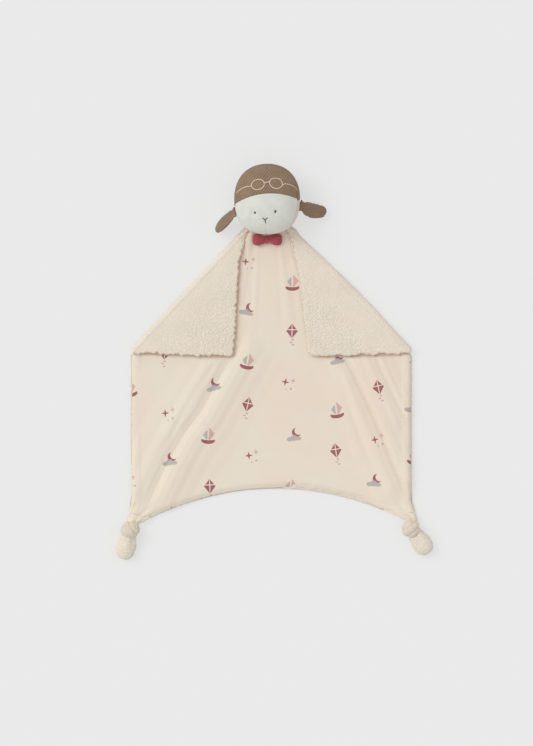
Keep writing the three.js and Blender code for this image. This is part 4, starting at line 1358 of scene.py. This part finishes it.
@cache
def head_shape():
    """The stuffed head, its triangles cut along the seams: (directions, triangles, reach, ray-cast tree)."""
    coarse, coarse_faces = ball_of(5)
    start = head_middle() + coarse * (head_reach(coarse) - 1.2 * MM)[:, None]
    tree = inflated("head_cloth", start, coarse_faces, 4 * MM, 1.6 * MM)
    ways, triangles = ball_of(7)
    pinned = np.zeros(len(ways), bool)
    edges = np.unique(np.sort(triangles[:, [[0, 1], [1, 2], [2, 0]]].reshape(-1, 2), 1), axis=0)
    a, b = edges.T
    for number in range(4):
        heights = seam_heights(ways * head_reach(ways)[:, None])
        value, cut = heights[number], region_mask(number, heights)
        found = edges[(value[a] * value[b] < 0) & cut[a] & cut[b]]
        for p, q in found[np.argsort(np.abs(value[found]).min(1))]:
            if value[p] * value[q] >= 0:
                continue
            near, far = (p, q) if abs(value[p]) <= abs(value[q]) else (q, p)
            if pinned[near] and not pinned[far]:
                near, far = far, near
            share = abs(value[near]) / (abs(value[near]) + abs(value[far]))
            ways[near] += (ways[far] - ways[near]) * share
            value[near] = 0
            pinned[near] = True
        ways = unit_rows(ways)
    reach = cast(tree, head_middle(), ways, head_reach(ways))
    points = [Vector(p) for p in head_middle() + ways * reach[:, None]]
    return ways, triangles, reach, BVHTree.FromPolygons(points, triangles.tolist())


def region_mask(number, heights):
    """Which points a seam may cut: the brim and the cap's middle in front, the nape behind."""
    side_seam, brim, slack = heights[0], heights[1], 0.05 * MM
    front = side_seam > -slack
    return (np.ones(len(front), bool), front, front & (brim > -slack), side_seam < slack)[number]


def head_panel(name, chosen, finish, dent=None, across=None):
    """One sewn panel of the head, turned in at its seams, as a closed shell."""
    ways, triangles, reach, _ = head_shape()
    used, flat = np.unique(triangles[chosen], return_inverse=True)
    triangles, ways, reach = flat.reshape(-1, 3), ways[used], reach[used]
    rim = rim_edges(triangles, len(used))
    edge = np.unique(rim)
    local = ways * reach[:, None]
    nearest, distance = nearest_of(local, local[edge])
    # The cap's middle seam is pressed nearly flat.
    pressed = np.abs(local[edge[nearest], 0]) < 0.1 * MM
    reach -= np.where(pressed, 0.2, 0.75) * MM * (1 - rounding(distance, 1.6 * MM)[0])
    if dent:
        reach += dent(local)
    shells = [head_middle() + ways * (reach - depth)[:, None] for depth in (0, 1.3 * MM)]
    for shell in shells:
        shell[:, 2] = np.maximum(shell[:, 2], 0.2 * MM)
    values = {
        "pile_normal": ways,
        "pile_share": smooth(distance / (1.2 * MM)),
        "wale_place": across(local) if across else 0 * distance,
        "pile_place": local,
    }
    inner = dict(values, pile_share=0 * distance)
    return cloth_object(name, finish, *shells, triangles, rim, values, inner)


def panel_masks():
    """Triangles of each head panel."""
    ways, triangles, _, _ = head_shape()
    centres = unit_rows(ways[triangles].mean(1))
    side_seam, brim, middle, nape = seam_heights(centres * head_reach(centres)[:, None])
    front, cap = side_seam > 0, brim > 0
    return {
        "face": front & ~cap,
        "cap_left": front & cap & (middle <= 0),
        "cap_right": front & cap & (middle > 0),
        "cap_back": ~front & (nape > 0),
        "nape": ~front & (nape <= 0),
    }


LEFT_EYE = (-14.5, -16.4)
RIGHT_EYE = (9.1, -15.1)
MOUTH = (-3.0, -23.9)


# Rounded dents in the face, in millimetres: depth, middle, and half sizes
DENTS = [
    (-0.9, LEFT_EYE, (2.6, 2.9)),
    (-0.9, RIGHT_EYE, (2.6, 2.9)),
    (-0.4, MOUTH, (3.2, 2.6)),
    (0.5, (MOUTH[0], MOUTH[1] + 1), (9, 7)),
]


def face_dents(local):
    """Eyes pulled in a little by their stitches, a fuller muzzle, and the dart from the mouth to the
    chin."""
    x, y, _ = local.T / MM
    dents = -0.35 * hump(x, -1.2, 0.9) * smooth((-26 - y) / 3)
    for depth, middle, half in DENTS:
        dents += depth * hump(x, middle[0], half[0]) * hump(y, middle[1], half[1])
    return dents * MM


def chevron(side):
    """Distance across the wales of one half of the cap's front. They rise towards the middle seam."""
    out, up = math.sin(math.radians(52)), math.cos(math.radians(52))
    return lambda local: -side * unrolled(local, 1) * out - local[:, 1] * up + 0.5


def unrolled(local, side):
    """Distance from the head's middle line. It runs on where the cloth of the front, or for -1 of the back,
    turns down to the seam."""
    turn = 20 * MM
    turned = np.maximum(0, turn - side * local[:, 2]) ** 2 / (2 * turn)
    return local[:, 0] + turned * np.clip(local[:, 0] / turn, -1, 1)


# Ears, bow and knots

EARS = {
    -1: {"root": (-0.92, -0.38), "way": (-0.72, -0.69), "roll": 50, "sag": 0.0, "neck": 7.2},
    1: {"root": (0.98, -0.2), "way": (0.98, -0.19), "roll": 6, "sag": 3.0, "neck": 6.2},
}
# Soft forms along their length: share of the length, and shares of the half width and half thickness
EAR_PROFILE = [
    (0.22, 0.85, 0.8), (0.45, 0.95, 1), (0.65, 0.93, 1),
    (0.82, 0.82, 0.86), (0.94, 0.58, 0.6), (1, 0.2, 0.24),
]
BOW_PROFILE = [(0.4, 0.88, 0.84), (0.62, 1, 1), (0.8, 0.97, 0.9), (0.94, 0.74, 0.6), (1, 0.44, 0.24)]
TAIL_PROFILE = [
    (0, 0.8, 0.8), (0.2, 0.92, 0.95), (0.42, 1, 1), (0.62, 0.98, 1), (0.82, 0.82, 0.84), (0.95, 0.48, 0.5),
    (1, 0.18, 0.2),
]


def stations_of(shares, reach, half_width, half_thickness):
    return [(u * reach, v * half_width, w * half_thickness) for u, v, w in shares]


def ear_place(side):
    """Root, way and width direction of an ear."""
    ear = EARS[side]
    outward = unit((*ear["root"], 0))
    root = head_middle() + outward * head_reach(outward[None])[0]
    root[2] -= 3 * MM
    plan = np.array([*ear["way"], 0])
    along = unit(plan * math.cos(0.55) + np.array([0, 0, -math.sin(0.55)]))
    level, roll = unit(np.cross([0, 0, 1], along)), math.radians(ear["roll"])
    return root, along, unit(level * math.cos(roll) + np.cross(along, level) * math.sin(roll))


def ear(side):
    """Front and back half of a long ear, wales along its length."""
    sizes = head_sizes()
    root, along, wide = ear_place(side)
    stations = [(place * MM, EARS[side]["neck"] * MM, 1.2 * MM) for place in (-1.5, 1.5)]
    stations += stations_of(EAR_PROFILE, sizes.ear_length, sizes.ear_width / 2, sizes.ear_thickness / 2)
    cloth = f"{SIDE_NAME[side]}_ear_cloth"
    rings, uu, aa, ways = soft_form(cloth, stations, root, along, wide, 72, 96, 1.6 * MM, 0.8 * MM)
    # The ear hangs with its belly down.
    hang = np.sin(np.clip(uu / sizes.ear_length, 0, 1) ** 0.8 * 2.5) * EARS[side]["sag"] * MM
    rings = rings - wide * np.sign(wide[1]) * hang[..., None]
    thick = np.cross(along, wide)
    up = int(np.sign(thick[2]))
    pieces = []
    for name, sign in (("front", 1), ("back", -1)):
        half = aa.shape[1] // 2
        turn = (np.arange(half + 1) + (0 if sign == up else half)) % aa.shape[1]
        shell = thick * up * sign * 0.05 * MM
        outer = rings[:, turn]
        seam = outer - ((outer - root) @ thick)[..., None] * thick
        rounded = np.abs(np.sin(aa[:, turn]))
        fall = 0.35 * MM * (1 - np.sqrt(np.clip(rounded / 0.25, 0, 1)))
        outer = outer - ways[:, turn] * fall[..., None]
        outer[:, [0, -1]] = seam[:, [0, -1]] + shell
        cells = quads(np.arange(rounded.size).reshape(rounded.shape), flip=True).reshape(-1, 4)
        outer, seam, normals = [given.reshape(-1, 3) for given in (outer, seam + shell, ways[:, turn])]
        share = (np.clip(rounded / 0.3, 0, 1) * smooth((uu[:, turn] + 1 * MM) / (3 * MM))).ravel()
        values = {"pile_normal": normals, "pile_share": share, "wale_place": (outer - root) @ wide}
        obj = cloth_object(
            f"{SIDE_NAME[side]}_ear_{name}_cloth", "ear_needlecord",
            outer, seam, cells, rim_edges(cells, len(outer)), values, dict(values, pile_share=0 * share),
        )
        pieces.append(grow(obj, wales_tree(), spacing=sizes.wale, height=sizes.wale_height))
    return pieces


def bow_place():
    trims, head = trim_sizes(), head_sizes()
    level = cloth_top() + GAP + trims.bow_thickness / 2
    return np.array([head.x - 0.7 * MM, head.y - head.height / 2 - 4 * MM, level])


def bow_lobe(side):
    """A lobe of the bow tie: pleats that fan out of the binding, fine ribs across it."""
    trims = trim_sizes()
    stations = [(0.15 * MM, 3.6 * MM, 1.5 * MM), (1.9 * MM, 3.9 * MM, 1.7 * MM)]
    reach = trims.bow_width / 2 + 0.45 * MM * side
    stations += stations_of(BOW_PROFILE, reach, trims.bow_height / 2, trims.bow_thickness / 2)
    along, wide = np.array([side, 0.0, 0.0]), np.array([0.0, side, 0.0])
    name = f"bow_{SIDE_NAME[side]}_cloth"
    rings, uu, aa, ways = soft_form(name, stations, bow_place(), along, wide, 60, 120, 1.4 * MM, 0.8 * MM)
    share = (uu - uu[0, 0]) / (uu[-1, 0] - uu[0, 0])
    pleats = np.cos(3 * aa + 0.6 * side) * smooth(share / 0.12) * smooth((0.75 - share) / 0.6)
    rings = rings + ways * (0.55 * MM * pleats)[..., None]
    across = rings @ wide - bow_place() @ wide
    across = across / np.maximum(np.abs(across).max(1), 1e-6)[:, None] * trims.bow_height / 2
    raised_share = smooth(share / 0.1) * smooth((1 - share) / 0.06)
    points, faces = tube(rings)
    values = {
        "pile_normal": np.vstack([ways.reshape(-1, 3), -along, along]),
        "pile_share": np.append(raised_share, [0, 0]),
        "wale_place": np.append(across, [0, 0]),
    }
    obj = mesh_object(f"bow_{SIDE_NAME[side]}_loop", points, faces, "rib_knit", values)
    return grow(obj, wales_tree(), spacing=trims.rib, height=0.28 * MM)


def bow_band():
    """The narrow binding round the middle of the bow."""
    place = bow_place()
    rings = []
    for a in np.arange(64) * 2 * math.pi / 64:
        radial = unit((0, math.cos(a) / 3.5, math.sin(a) / 1.5))
        base = place + np.array([0, 4.1 * MM * math.cos(a), 2.1 * MM * math.sin(a)])
        crinkle = 0.12 * MM * math.sin(5 * a)
        for b in np.linspace(0, 2 * math.pi, 17)[:-1]:
            out = np.array([1.25 * MM * math.cos(b), 0, 0])
            rings.append(base + out + radial * (0.6 * MM * math.sin(b) + crinkle))
    points = np.array(rings)
    index = np.pad(np.arange(len(points)).reshape(64, 16), ((0, 1), (0, 1)), mode="wrap")
    values = {"wale_place": points[:, 0] - place[0]}
    obj = mesh_object("bow_band", points, quads(index).reshape(-1, 4), "rib_knit", values)
    outward_faces(obj)
    return obj


def outward_faces(obj):
    """Turns the faces of a closed body outwards."""
    work = bmesh.new()
    work.from_mesh(obj.data)
    bmesh.ops.recalc_face_normals(work, faces=work.faces)
    work.to_mesh(obj.data)
    work.free()


def knot_ball(side):
    """A knot of sherpa cloth: a soft ball with a fold across it."""
    trims = trim_sizes()
    middle = knot_middle(side)
    ways, triangles = ball_of(6)
    half = np.array([trims.knot_radius + 0.5 * MM, trims.knot_radius - 0.3 * MM, trims.knot_height / 2])
    plain = 1 / np.linalg.norm(ways / half, axis=1)
    coarse = ways * (plain - 0.8 * MM)[:, None] + middle
    tree = inflated(f"{SIDE_NAME[side]}_knot_cloth", coarse, triangles, 2.2 * MM, 1.0 * MM)
    reach = cast(tree, middle, ways, plain)
    gather = unit((*KNOTS[side]["gather"], 0))
    across = np.cross([0, 0, 1.0], gather)
    level = ways @ unit(gather * 0.75 + across * 0.6 * side + np.array([0, 0, 0.12]))
    for place, width in ((0.46, 0.13), (-0.4, 0.14)):
        reach -= 1.1 * MM * hump(level, place, width)
    second = ways @ unit(gather * 0.5 - across * 0.8 * side)
    reach -= 0.7 * MM * hump(second, 0.5, 0.15) * smooth((0.42 - abs(level - 0.04)) / 0.1)
    points = middle + ways * reach[:, None]
    # Its fleece is darkened as painted shade.
    obj = knot_cloth(f"{SIDE_NAME[side]}_knot_ball", points, triangles, ways, "knotted_fleece")
    return grow_curls(obj, 1.1, 0.5, seed=4.0 + side)


def knot_cloth(name, points, faces, ways, finish):
    """Sherpa that rests on the floor, its pile fading out there."""
    points[:, 2] = np.maximum(points[:, 2], 0.4 * MM)
    share = smooth(points[:, 2] / (1.5 * MM))
    return mesh_object(
        name, points, faces, finish, {"pile_place": points, "pile_normal": ways, "pile_share": share}
    )


def knot_end(side):
    """The loose corner below a knot: a flattened bag of cloth with its seam round the edge."""
    trims = trim_sizes()
    tail = unit((*KNOTS[side]["tail"], 0))
    origin = knot_middle(side) + tail * (trims.knot_radius - 4 * MM)
    origin[2] = trims.tail_height / 2 - 0.5 * MM
    wide = np.cross([0, 0, 1.0], tail)
    slack = 0.9  # the pile brings the loose end back to its full size
    long, wide_half = (trims.tail_length + 4 * MM) * slack, trims.tail_width / 2 * slack
    stations = stations_of(TAIL_PROFILE, long, wide_half, trims.tail_height / 2)
    name = f"{SIDE_NAME[side]}_tail_cloth"
    rings, uu, aa, ways = soft_form(name, stations, origin, tail, wide, 84, 128, 2.2 * MM, 1.0 * MM)
    share = uu / uu[-1, 0]
    # Pleats out of the knot, and the raised seam round the edge
    pleats = 0.7 * MM * np.cos(5 * aa + side) * smooth(share / 0.1) * smooth((0.62 - share) / 0.5)
    seam = 0.9 * MM * hump(np.sin(aa), 0, 0.12) * smooth((share - 0.15) / 0.2)
    groove = -0.8 * MM * hump(np.abs(np.sin(aa)), 0.3, 0.09) * smooth((share - 0.2) / 0.2)
    points, faces = tube(rings + ways * (pleats + seam + groove)[..., None])
    ways = np.vstack([ways.reshape(-1, 3), -tail, tail])
    obj = knot_cloth(f"{SIDE_NAME[side]}_tail_end", points, faces, ways, "sherpa_fleece")
    return grow_curls(obj, 1.0, 0.6, seed=8.0 + side)


def gathered_corner(side):
    """The cloth that runs together into a knot, pleated, jersey above and sherpa below."""
    _, way, across = gather_frame(side)
    start = (CUT_BACK + 3) * MM
    angle = np.arange(96) * 2 * math.pi / 96
    c, s = np.cos(angle), np.sin(angle)
    rings = []
    for b in np.linspace(start, -4 * MM, 40):
        if b > 0:
            outer, inner, _ = corner_cut(side, -1.0 * MM, b)
        else:
            outer, inner = [end + way * b for end in gather_ends(side)]
        near = smooth(1 - b / start)
        power = 2 / (9 - 6.6 * near)
        half_width = np.linalg.norm(outer - inner) / 2
        place = (outer + inner) / 2 + (np.sign(c) * np.abs(c) ** power * half_width)[:, None] * across
        low = 0.1 * MM
        high = cloth_top() + rise(place) - 0.35 * MM + np.minimum(2.2 * near, 0.7) * MM
        centre = (low + cloth_top()) / 2
        reach = np.where(s > 0, high - centre, low - centre)
        rings.append(np.column_stack([place, centre + reach * np.abs(s) ** power]))
    points, faces = tube(np.array(rings))
    values = {"pile_place": points, "curl_height": 0.5 + 0 * points[:, 0]}
    made = mesh_object(f"{SIDE_NAME[side]}_gather", points, faces, "cotton_jersey", values)
    made.data.materials.append(material_of("sherpa_fleece"))
    outward_faces(made)
    for face in made.data.polygons:
        face.material_index = 0 if face.normal.z > 0.3 else 1
    return made


# Stitches


def on_skin(x, y, lift, dent=None):
    """Point and normal on the stuffed head, by its place in the front view."""
    plain, normal = on_face(x, y)
    way = unit(plain)
    point = np.array(head_shape()[3].ray_cast(Vector(head_middle() + way * 0.06), Vector(-way))[0])
    if dent:
        point = point + way * dent((point - head_middle())[None])[0]
    return point + normal * lift, normal


def stitch_points(line, slant, dent=None):
    """Places, turns and reaches of satin stitches across a line given in the front view in millimetres."""
    spaced = resample(np.asarray(line, float) * MM, trim_sizes().stitch_step)
    places, turns = [], []
    for (x, y), heading in zip(spaced, np.gradient(spaced, axis=0)):
        point, normal = on_skin(x, y, 0.2 * MM, dent)
        ahead = along_skin((*heading, 0.0), normal)
        way = unit(np.cross(normal, ahead) * math.cos(slant) + ahead * math.sin(slant))
        places.append(point)
        turns.append(turn_of(way, normal))
    return places, turns, [1.0] * len(places)


def along_skin(way, normal):
    """A way laid flat on the skin."""
    way = np.array(way)
    return unit(way - normal * (way @ normal))


def turn_of(way, normal):
    """Euler angles that lay the X axis along a way and the Z axis along a normal."""
    third = np.cross(normal, way)
    matrix = Matrix([[way[k], third[k], normal[k]] for k in range(3)])
    return list(matrix.to_euler("XYZ"))


def stitched(name, parts, length_of, finish):
    """One body of stitches from several rows of them."""
    places, turns, reaches = [np.concatenate(part) for part in zip(*parts)]
    obj = mesh_object(name, places, [], finish, {"stitch_turn": turns, "stitch_share": reaches})
    return grow(obj, stitches_tree(), thread_radius=trim_sizes().thread, stitch_length=length_of)


def lens_line(side):
    """The oval outline of a goggle's lens, in millimetres in the front view."""
    tilt = math.radians(-side * 15)
    angle = np.linspace(0, 2 * math.pi, 61)
    x, y = 7.3 * np.cos(angle), 5.7 * np.sin(angle)
    return np.column_stack([
        side * 20.4 / 2 - 0.65 + x * math.cos(tilt) - y * math.sin(tilt),
        16.35 + 0.65 * side + x * math.sin(tilt) + y * math.cos(tilt),
    ])


def lens_end(side, outer):
    line = lens_line(side)
    return line[0] if (side > 0) == outer else line[30]


STRAPS = {
    -1: [(-22.6, 13.5), (-27.6, 11.9), (-32.0, 8.9), (-34.6, 6.2)],
    1: [(19.6, 16.7), (24.6, 15.7), (30.6, 13.1), (33.2, 9.9)],
}


def strap_line(side):
    start = lens_end(side, True) + np.array([side * 0.7, 0])
    return np.vstack([start, STRAPS[side]])


def eye_rows(x, y):
    """Upright satin stitches that fill an oval."""
    places, turns, reaches = [], [], []
    count = 9
    for k in range(count):
        share = (k + 0.5) / count * 2 - 1
        point, normal = on_skin((x + share * 0.95) * MM, y * MM, 0.1 * MM, face_dents)
        places.append(point)
        turns.append(turn_of(along_skin((0.12, 1, 0), normal), normal))
        reaches.append(math.sqrt(1 - (share * 0.93) ** 2))
    return places, turns, reaches


# Operators


def ride(obj, body, slot, *nodes):
    """Sets the piece on its body, in place of CAD nodes. The finish slot that it is given is not used."""
    if nodes:
        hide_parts(*nodes)
    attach(obj, body)
    return obj


def turn_at_crease(piece):
    """Keeps a bend where it stands, its placement baked into its points."""
    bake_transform(piece)


CAMERA_HEIGHT = 16.0
SENSOR_WIDTH = 36
# The width and the middle of what the camera sees on the floor: 533 pixels of 1.083 mm
SEEN_WIDTH = 533 * 1.083 * MM
SEEN_MIDDLE = (-5.4 * MM, -14.1 * MM)


class LOVEY_OT_stage(bpy.types.Operator):
    """Pale floor, soft light and the camera straight above"""

    bl_idname = "lovey.stage"
    bl_label = "Stage"

    def execute(self, context):
        scene = context.scene
        bpy.ops.mesh.primitive_plane_add(size=6)
        floor = context.active_object
        floor.name = "floor"
        material, tree = new_material("pale_floor")
        matt = add(tree, "ShaderNodeBsdfDiffuse", Color=colours().floor)
        glow = add(tree, "ShaderNodeEmission", Color=colours().floor, Strength=1.0)
        path = add(tree, "ShaderNodeLightPath", out=None)
        # Seen straight on, the floor is mostly its own colour, so that its shadows stay faint.
        share = add(tree, "ShaderNodeMath", path.outputs["Is Camera Ray"], 0.7, operation="MULTIPLY")
        mixed = add(tree, "ShaderNodeMixShader", share, matt, glow)
        add(tree, "ShaderNodeOutputMaterial", Surface=mixed, out=None)
        floor.data.materials.append(material)
        world = bpy.data.worlds.new("soft_room")
        world.use_nodes = True
        world.node_tree.nodes.clear()
        sky = add(world.node_tree, "ShaderNodeBackground", Color=(1, 1, 1, 1), Strength=0.70)
        add(world.node_tree, "ShaderNodeOutputWorld", Surface=sky, out=None)
        scene.world = world
        lamp = bpy.data.objects.new("window", bpy.data.lights.new("window", "SUN"))
        lamp.data.energy = 1.15
        lamp.data.angle = math.radians(35)
        lamp.rotation_mode = "QUATERNION"
        lamp.rotation_quaternion = Vector((-0.75, 0.42, 0.9)).to_track_quat("Z", "Y")
        scene.collection.objects.link(lamp)
        camera = bpy.data.objects.new("camera", bpy.data.cameras.new("camera"))
        camera.location = (*SEEN_MIDDLE, CAMERA_HEIGHT)
        camera.data.sensor_width = SENSOR_WIDTH
        camera.data.sensor_fit = "HORIZONTAL"
        camera.data.lens = SENSOR_WIDTH * CAMERA_HEIGHT / SEEN_WIDTH
        camera.data.clip_end = 40
        scene.collection.objects.link(camera)
        scene.camera = camera
        scene.view_settings.view_transform = "Standard"
        return {"FINISHED"}


class LOVEY_OT_blanket_back(bpy.types.Operator):
    """Main sherpa cloth, with its pile below and round its edges"""

    bl_idname = "lovey.blanket_back"
    bl_label = "Blanket back"

    def execute(self, context):
        cloth, area = back_cloth()
        ride(cloth, "blanket", "sherpa", "blanket_back_sherpa")
        bends = [bend(side, "sherpa") for side in (-1, 1)]
        for side, piece in zip((-1, 1), bends):
            turn_at_crease(piece)
        return {"FINISHED"}


class LOVEY_OT_blanket_front(bpy.types.Operator):
    """Main jersey cloth, with its long soft folds and its print"""

    bl_idname = "lovey.blanket_front"
    bl_label = "Blanket front"

    def execute(self, context):
        cloth, area = front_cloth()
        ride(cloth, "blanket", "printed_jersey", "blanket_front_jersey")
        bends = [bend(side, "jersey") for side in (-1, 1)]
        for side, piece in zip((-1, 1), bends):
            turn_at_crease(piece)
        return {"FINISHED"}


class LOVEY_OT_folded_corners(bpy.types.Operator):
    """The two upper corners of the blanket, folded to the front"""

    bl_idname = "lovey.folded_corners"
    bl_label = "Folded corners"

    def execute(self, context):
        for side in (-1, 1):
            name = SIDE_NAME[side]
            inner, inner_area = flap_jersey(side)
            ride(inner, f"{name}_flap", "printed_jersey", f"{name}_flap_jersey")
            edges = [flap_edge(side, part) for part in EDGE_PARTS[side]]
            for edge in edges:
                ride(edge, f"{name}_flap", "printed_jersey")
            outer, outer_area = flap_sherpa(side)
            ride(outer, f"{name}_flap", "sherpa", f"{name}_flap_sherpa")
        return {"FINISHED"}


class LOVEY_OT_knotted_corners(bpy.types.Operator):
    """The two lower corners, gathered and knotted, with their loose ends"""

    bl_idname = "lovey.knotted_corners"
    bl_label = "Knotted corners"

    def execute(self, context):
        for side in (-1, 1):
            name = SIDE_NAME[side]
            body = f"{name}_knotted_corner"
            ball = ride(knot_ball(side), body, "sherpa", f"{name}_knot")
            tail = ride(knot_end(side), body, "sherpa", f"{name}_knot_tail")
            gather = gathered_corner(side)
            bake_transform(gather)
        return {"FINISHED"}


class LOVEY_OT_head(bpy.types.Operator):
    """Velour face, jersey nape and the filling of the head"""

    bl_idname = "lovey.head"
    bl_label = "Head"

    def execute(self, context):
        masks = panel_masks()
        face = head_panel("velour_face", masks["face"], "cut_velour", face_dents)
        ride(face, "head", "face_velour", "face_panel")
        nape = head_panel("jersey_nape", masks["nape"], "plain_jersey")
        ride(nape, "head", "nape_jersey", "nape_panel")
        ways, triangles = ball_of(6)
        x, y, _ = ways.T * 30 * MM
        reach = head_reach(ways) - 3.4 * MM + 0.5 * MM * ripple(x, y, 41, 12 * MM)
        points = head_middle() + ways * reach[:, None]
        filling = mesh_object("fibre_filling", points, triangles, "polyester_filling", {})
        ride(filling, "head", "stuffing", "head_stuffing")
        return {"FINISHED"}


class LOVEY_OT_cap(bpy.types.Operator):
    """Corduroy cap: two front halves with their wales in a chevron, and the back"""

    bl_idname = "lovey.cap"
    bl_label = "Cap"

    def execute(self, context):
        sizes = head_sizes()
        masks = panel_masks()
        wales = {
            "cap_left": chevron(-1),
            "cap_right": chevron(1),
            "cap_back": lambda local: unrolled(local, -1) + 0.5,
        }
        for part, across in wales.items():
            piece = head_panel(f"{part}_cloth", masks[part], "cap_needlecord", None, across)
            finer = piece.modifiers.new("Finer", "SUBSURF")
            finer.subdivision_type = "SIMPLE"
            finer.levels = finer.render_levels = 1
            settle(piece)
            grow(piece, wales_tree(), spacing=sizes.wale, height=sizes.wale_height)
            ride(piece, "head", "cap_corduroy", f"{part}_panel")
        return {"FINISHED"}


class LOVEY_OT_goggles(bpy.types.Operator):
    """Goggles embroidered on the cap in satin stitch"""

    bl_idname = "lovey.goggles"
    bl_label = "Goggles"

    def execute(self, context):
        bridge = np.array([lens_end(-1, False) + [0.8, 0], lens_end(1, False) - [0.8, 0]])
        lines = [
            ("goggle_left_ring", "goggle_left_lens", lens_line(-1)),
            ("goggle_right_ring", "goggle_right_lens", lens_line(1)),
            ("goggle_left_band", "goggle_left_strap", strap_line(-1)),
            ("goggle_right_band", "goggle_right_strap", strap_line(1)),
            ("goggle_middle", "goggle_bridge", bridge),
        ]
        for name, node, line in lines:
            piece = stitched(name, [stitch_points(line, math.radians(24))], 1.35 * MM, "pale_rayon")
            ride(piece, "head", "pale_thread", node)
        return {"FINISHED"}


class LOVEY_OT_face_stitches(bpy.types.Operator):
    """Eyes and mouth in dark satin stitch"""

    bl_idname = "lovey.face_stitches"
    bl_label = "Eyes and mouth"

    def execute(self, context):
        for node, place, tall in (("left_eye", LEFT_EYE, 3.4), ("right_eye", RIGHT_EYE, 4.4)):
            piece = stitched(f"{node}_stitches", [eye_rows(*place)], tall * MM, "dark_rayon")
            ride(piece, "head", "dark_thread", node)
        ends = np.array(MOUTH) + [(-2.6, 2.1), (2.7, 2.0), (1.1, -3.4)]
        rows = [stitch_points([MOUTH, end], math.radians(40), face_dents) for end in ends]
        ride(stitched("mouth_stitches", rows, 1.4 * MM, "dark_rayon"), "head", "dark_thread", "mouth")
        return {"FINISHED"}


class LOVEY_OT_ears(bpy.types.Operator):
    """Long corduroy ears, each of a front and a back"""

    bl_idname = "lovey.ears"
    bl_label = "Ears"

    def execute(self, context):
        for side in (-1, 1):
            name = SIDE_NAME[side]
            for piece, half in zip(ear(side), ("front", "back")):
                ride(piece, f"{name}_ear", "ear_corduroy", f"{name}_ear_{half}")
        return {"FINISHED"}


class LOVEY_OT_bow_tie(bpy.types.Operator):
    """Bow tie of burgundy rib knit: two lobes and their binding"""

    bl_idname = "lovey.bow_tie"
    bl_label = "Bow tie"

    def execute(self, context):
        for side in (-1, 1):
            lobe = ride(bow_lobe(side), "blanket", "burgundy_rib", f"bow_{SIDE_NAME[side]}_lobe")
        ride(bow_band(), "blanket", "burgundy_rib", "bow_binding")
        return {"FINISHED"}


class LOVEY_PT_pieces(bpy.types.Panel):
    """The lovey's pieces, sizes and colours"""

    bl_label = "Lovey"
    bl_idname = "LOVEY_PT_pieces"
    bl_space_type = "VIEW_3D"
    bl_region_type = "UI"
    bl_category = "Lovey"

    def draw(self, context):
        for operator in OPERATORS:
            self.layout.operator(operator.bl_idname)
        for name in GROUPS:
            group, box = getattr(context.scene, name), self.layout.box()
            for key in group.__annotations__:
                box.prop(group, key)


GROUPS = {
    "lovey_blanket": LoveyBlanketSizes,
    "lovey_head": LoveyHeadSizes,
    "lovey_trims": LoveyTrimSizes,
    "lovey_colours": LoveyColours,
}
OPERATORS = [
    LOVEY_OT_stage,
    LOVEY_OT_blanket_back,
    LOVEY_OT_blanket_front,
    LOVEY_OT_folded_corners,
    LOVEY_OT_knotted_corners,
    LOVEY_OT_head,
    LOVEY_OT_cap,
    LOVEY_OT_goggles,
    LOVEY_OT_face_stitches,
    LOVEY_OT_ears,
    LOVEY_OT_bow_tie,
]


def register():
    for group in GROUPS.values():
        bpy.utils.register_class(group)
    for operator in OPERATORS:
        bpy.utils.register_class(operator)
    bpy.utils.register_class(LOVEY_PT_pieces)
    for key, group in GROUPS.items():
        setattr(bpy.types.Scene, key, PointerProperty(type=group))


def unregister():
    for key in GROUPS:
        delattr(bpy.types.Scene, key)
    bpy.utils.unregister_class(LOVEY_PT_pieces)
    for operator in reversed(OPERATORS):
        bpy.utils.unregister_class(operator)
    for group in reversed(list(GROUPS.values())):
        bpy.utils.unregister_class(group)


def main():
    register()
    for operator in OPERATORS:
        category, name = operator.bl_idname.split(".")
        getattr(getattr(bpy.ops, category), name)()


if __name__ == "__main__":
    main()
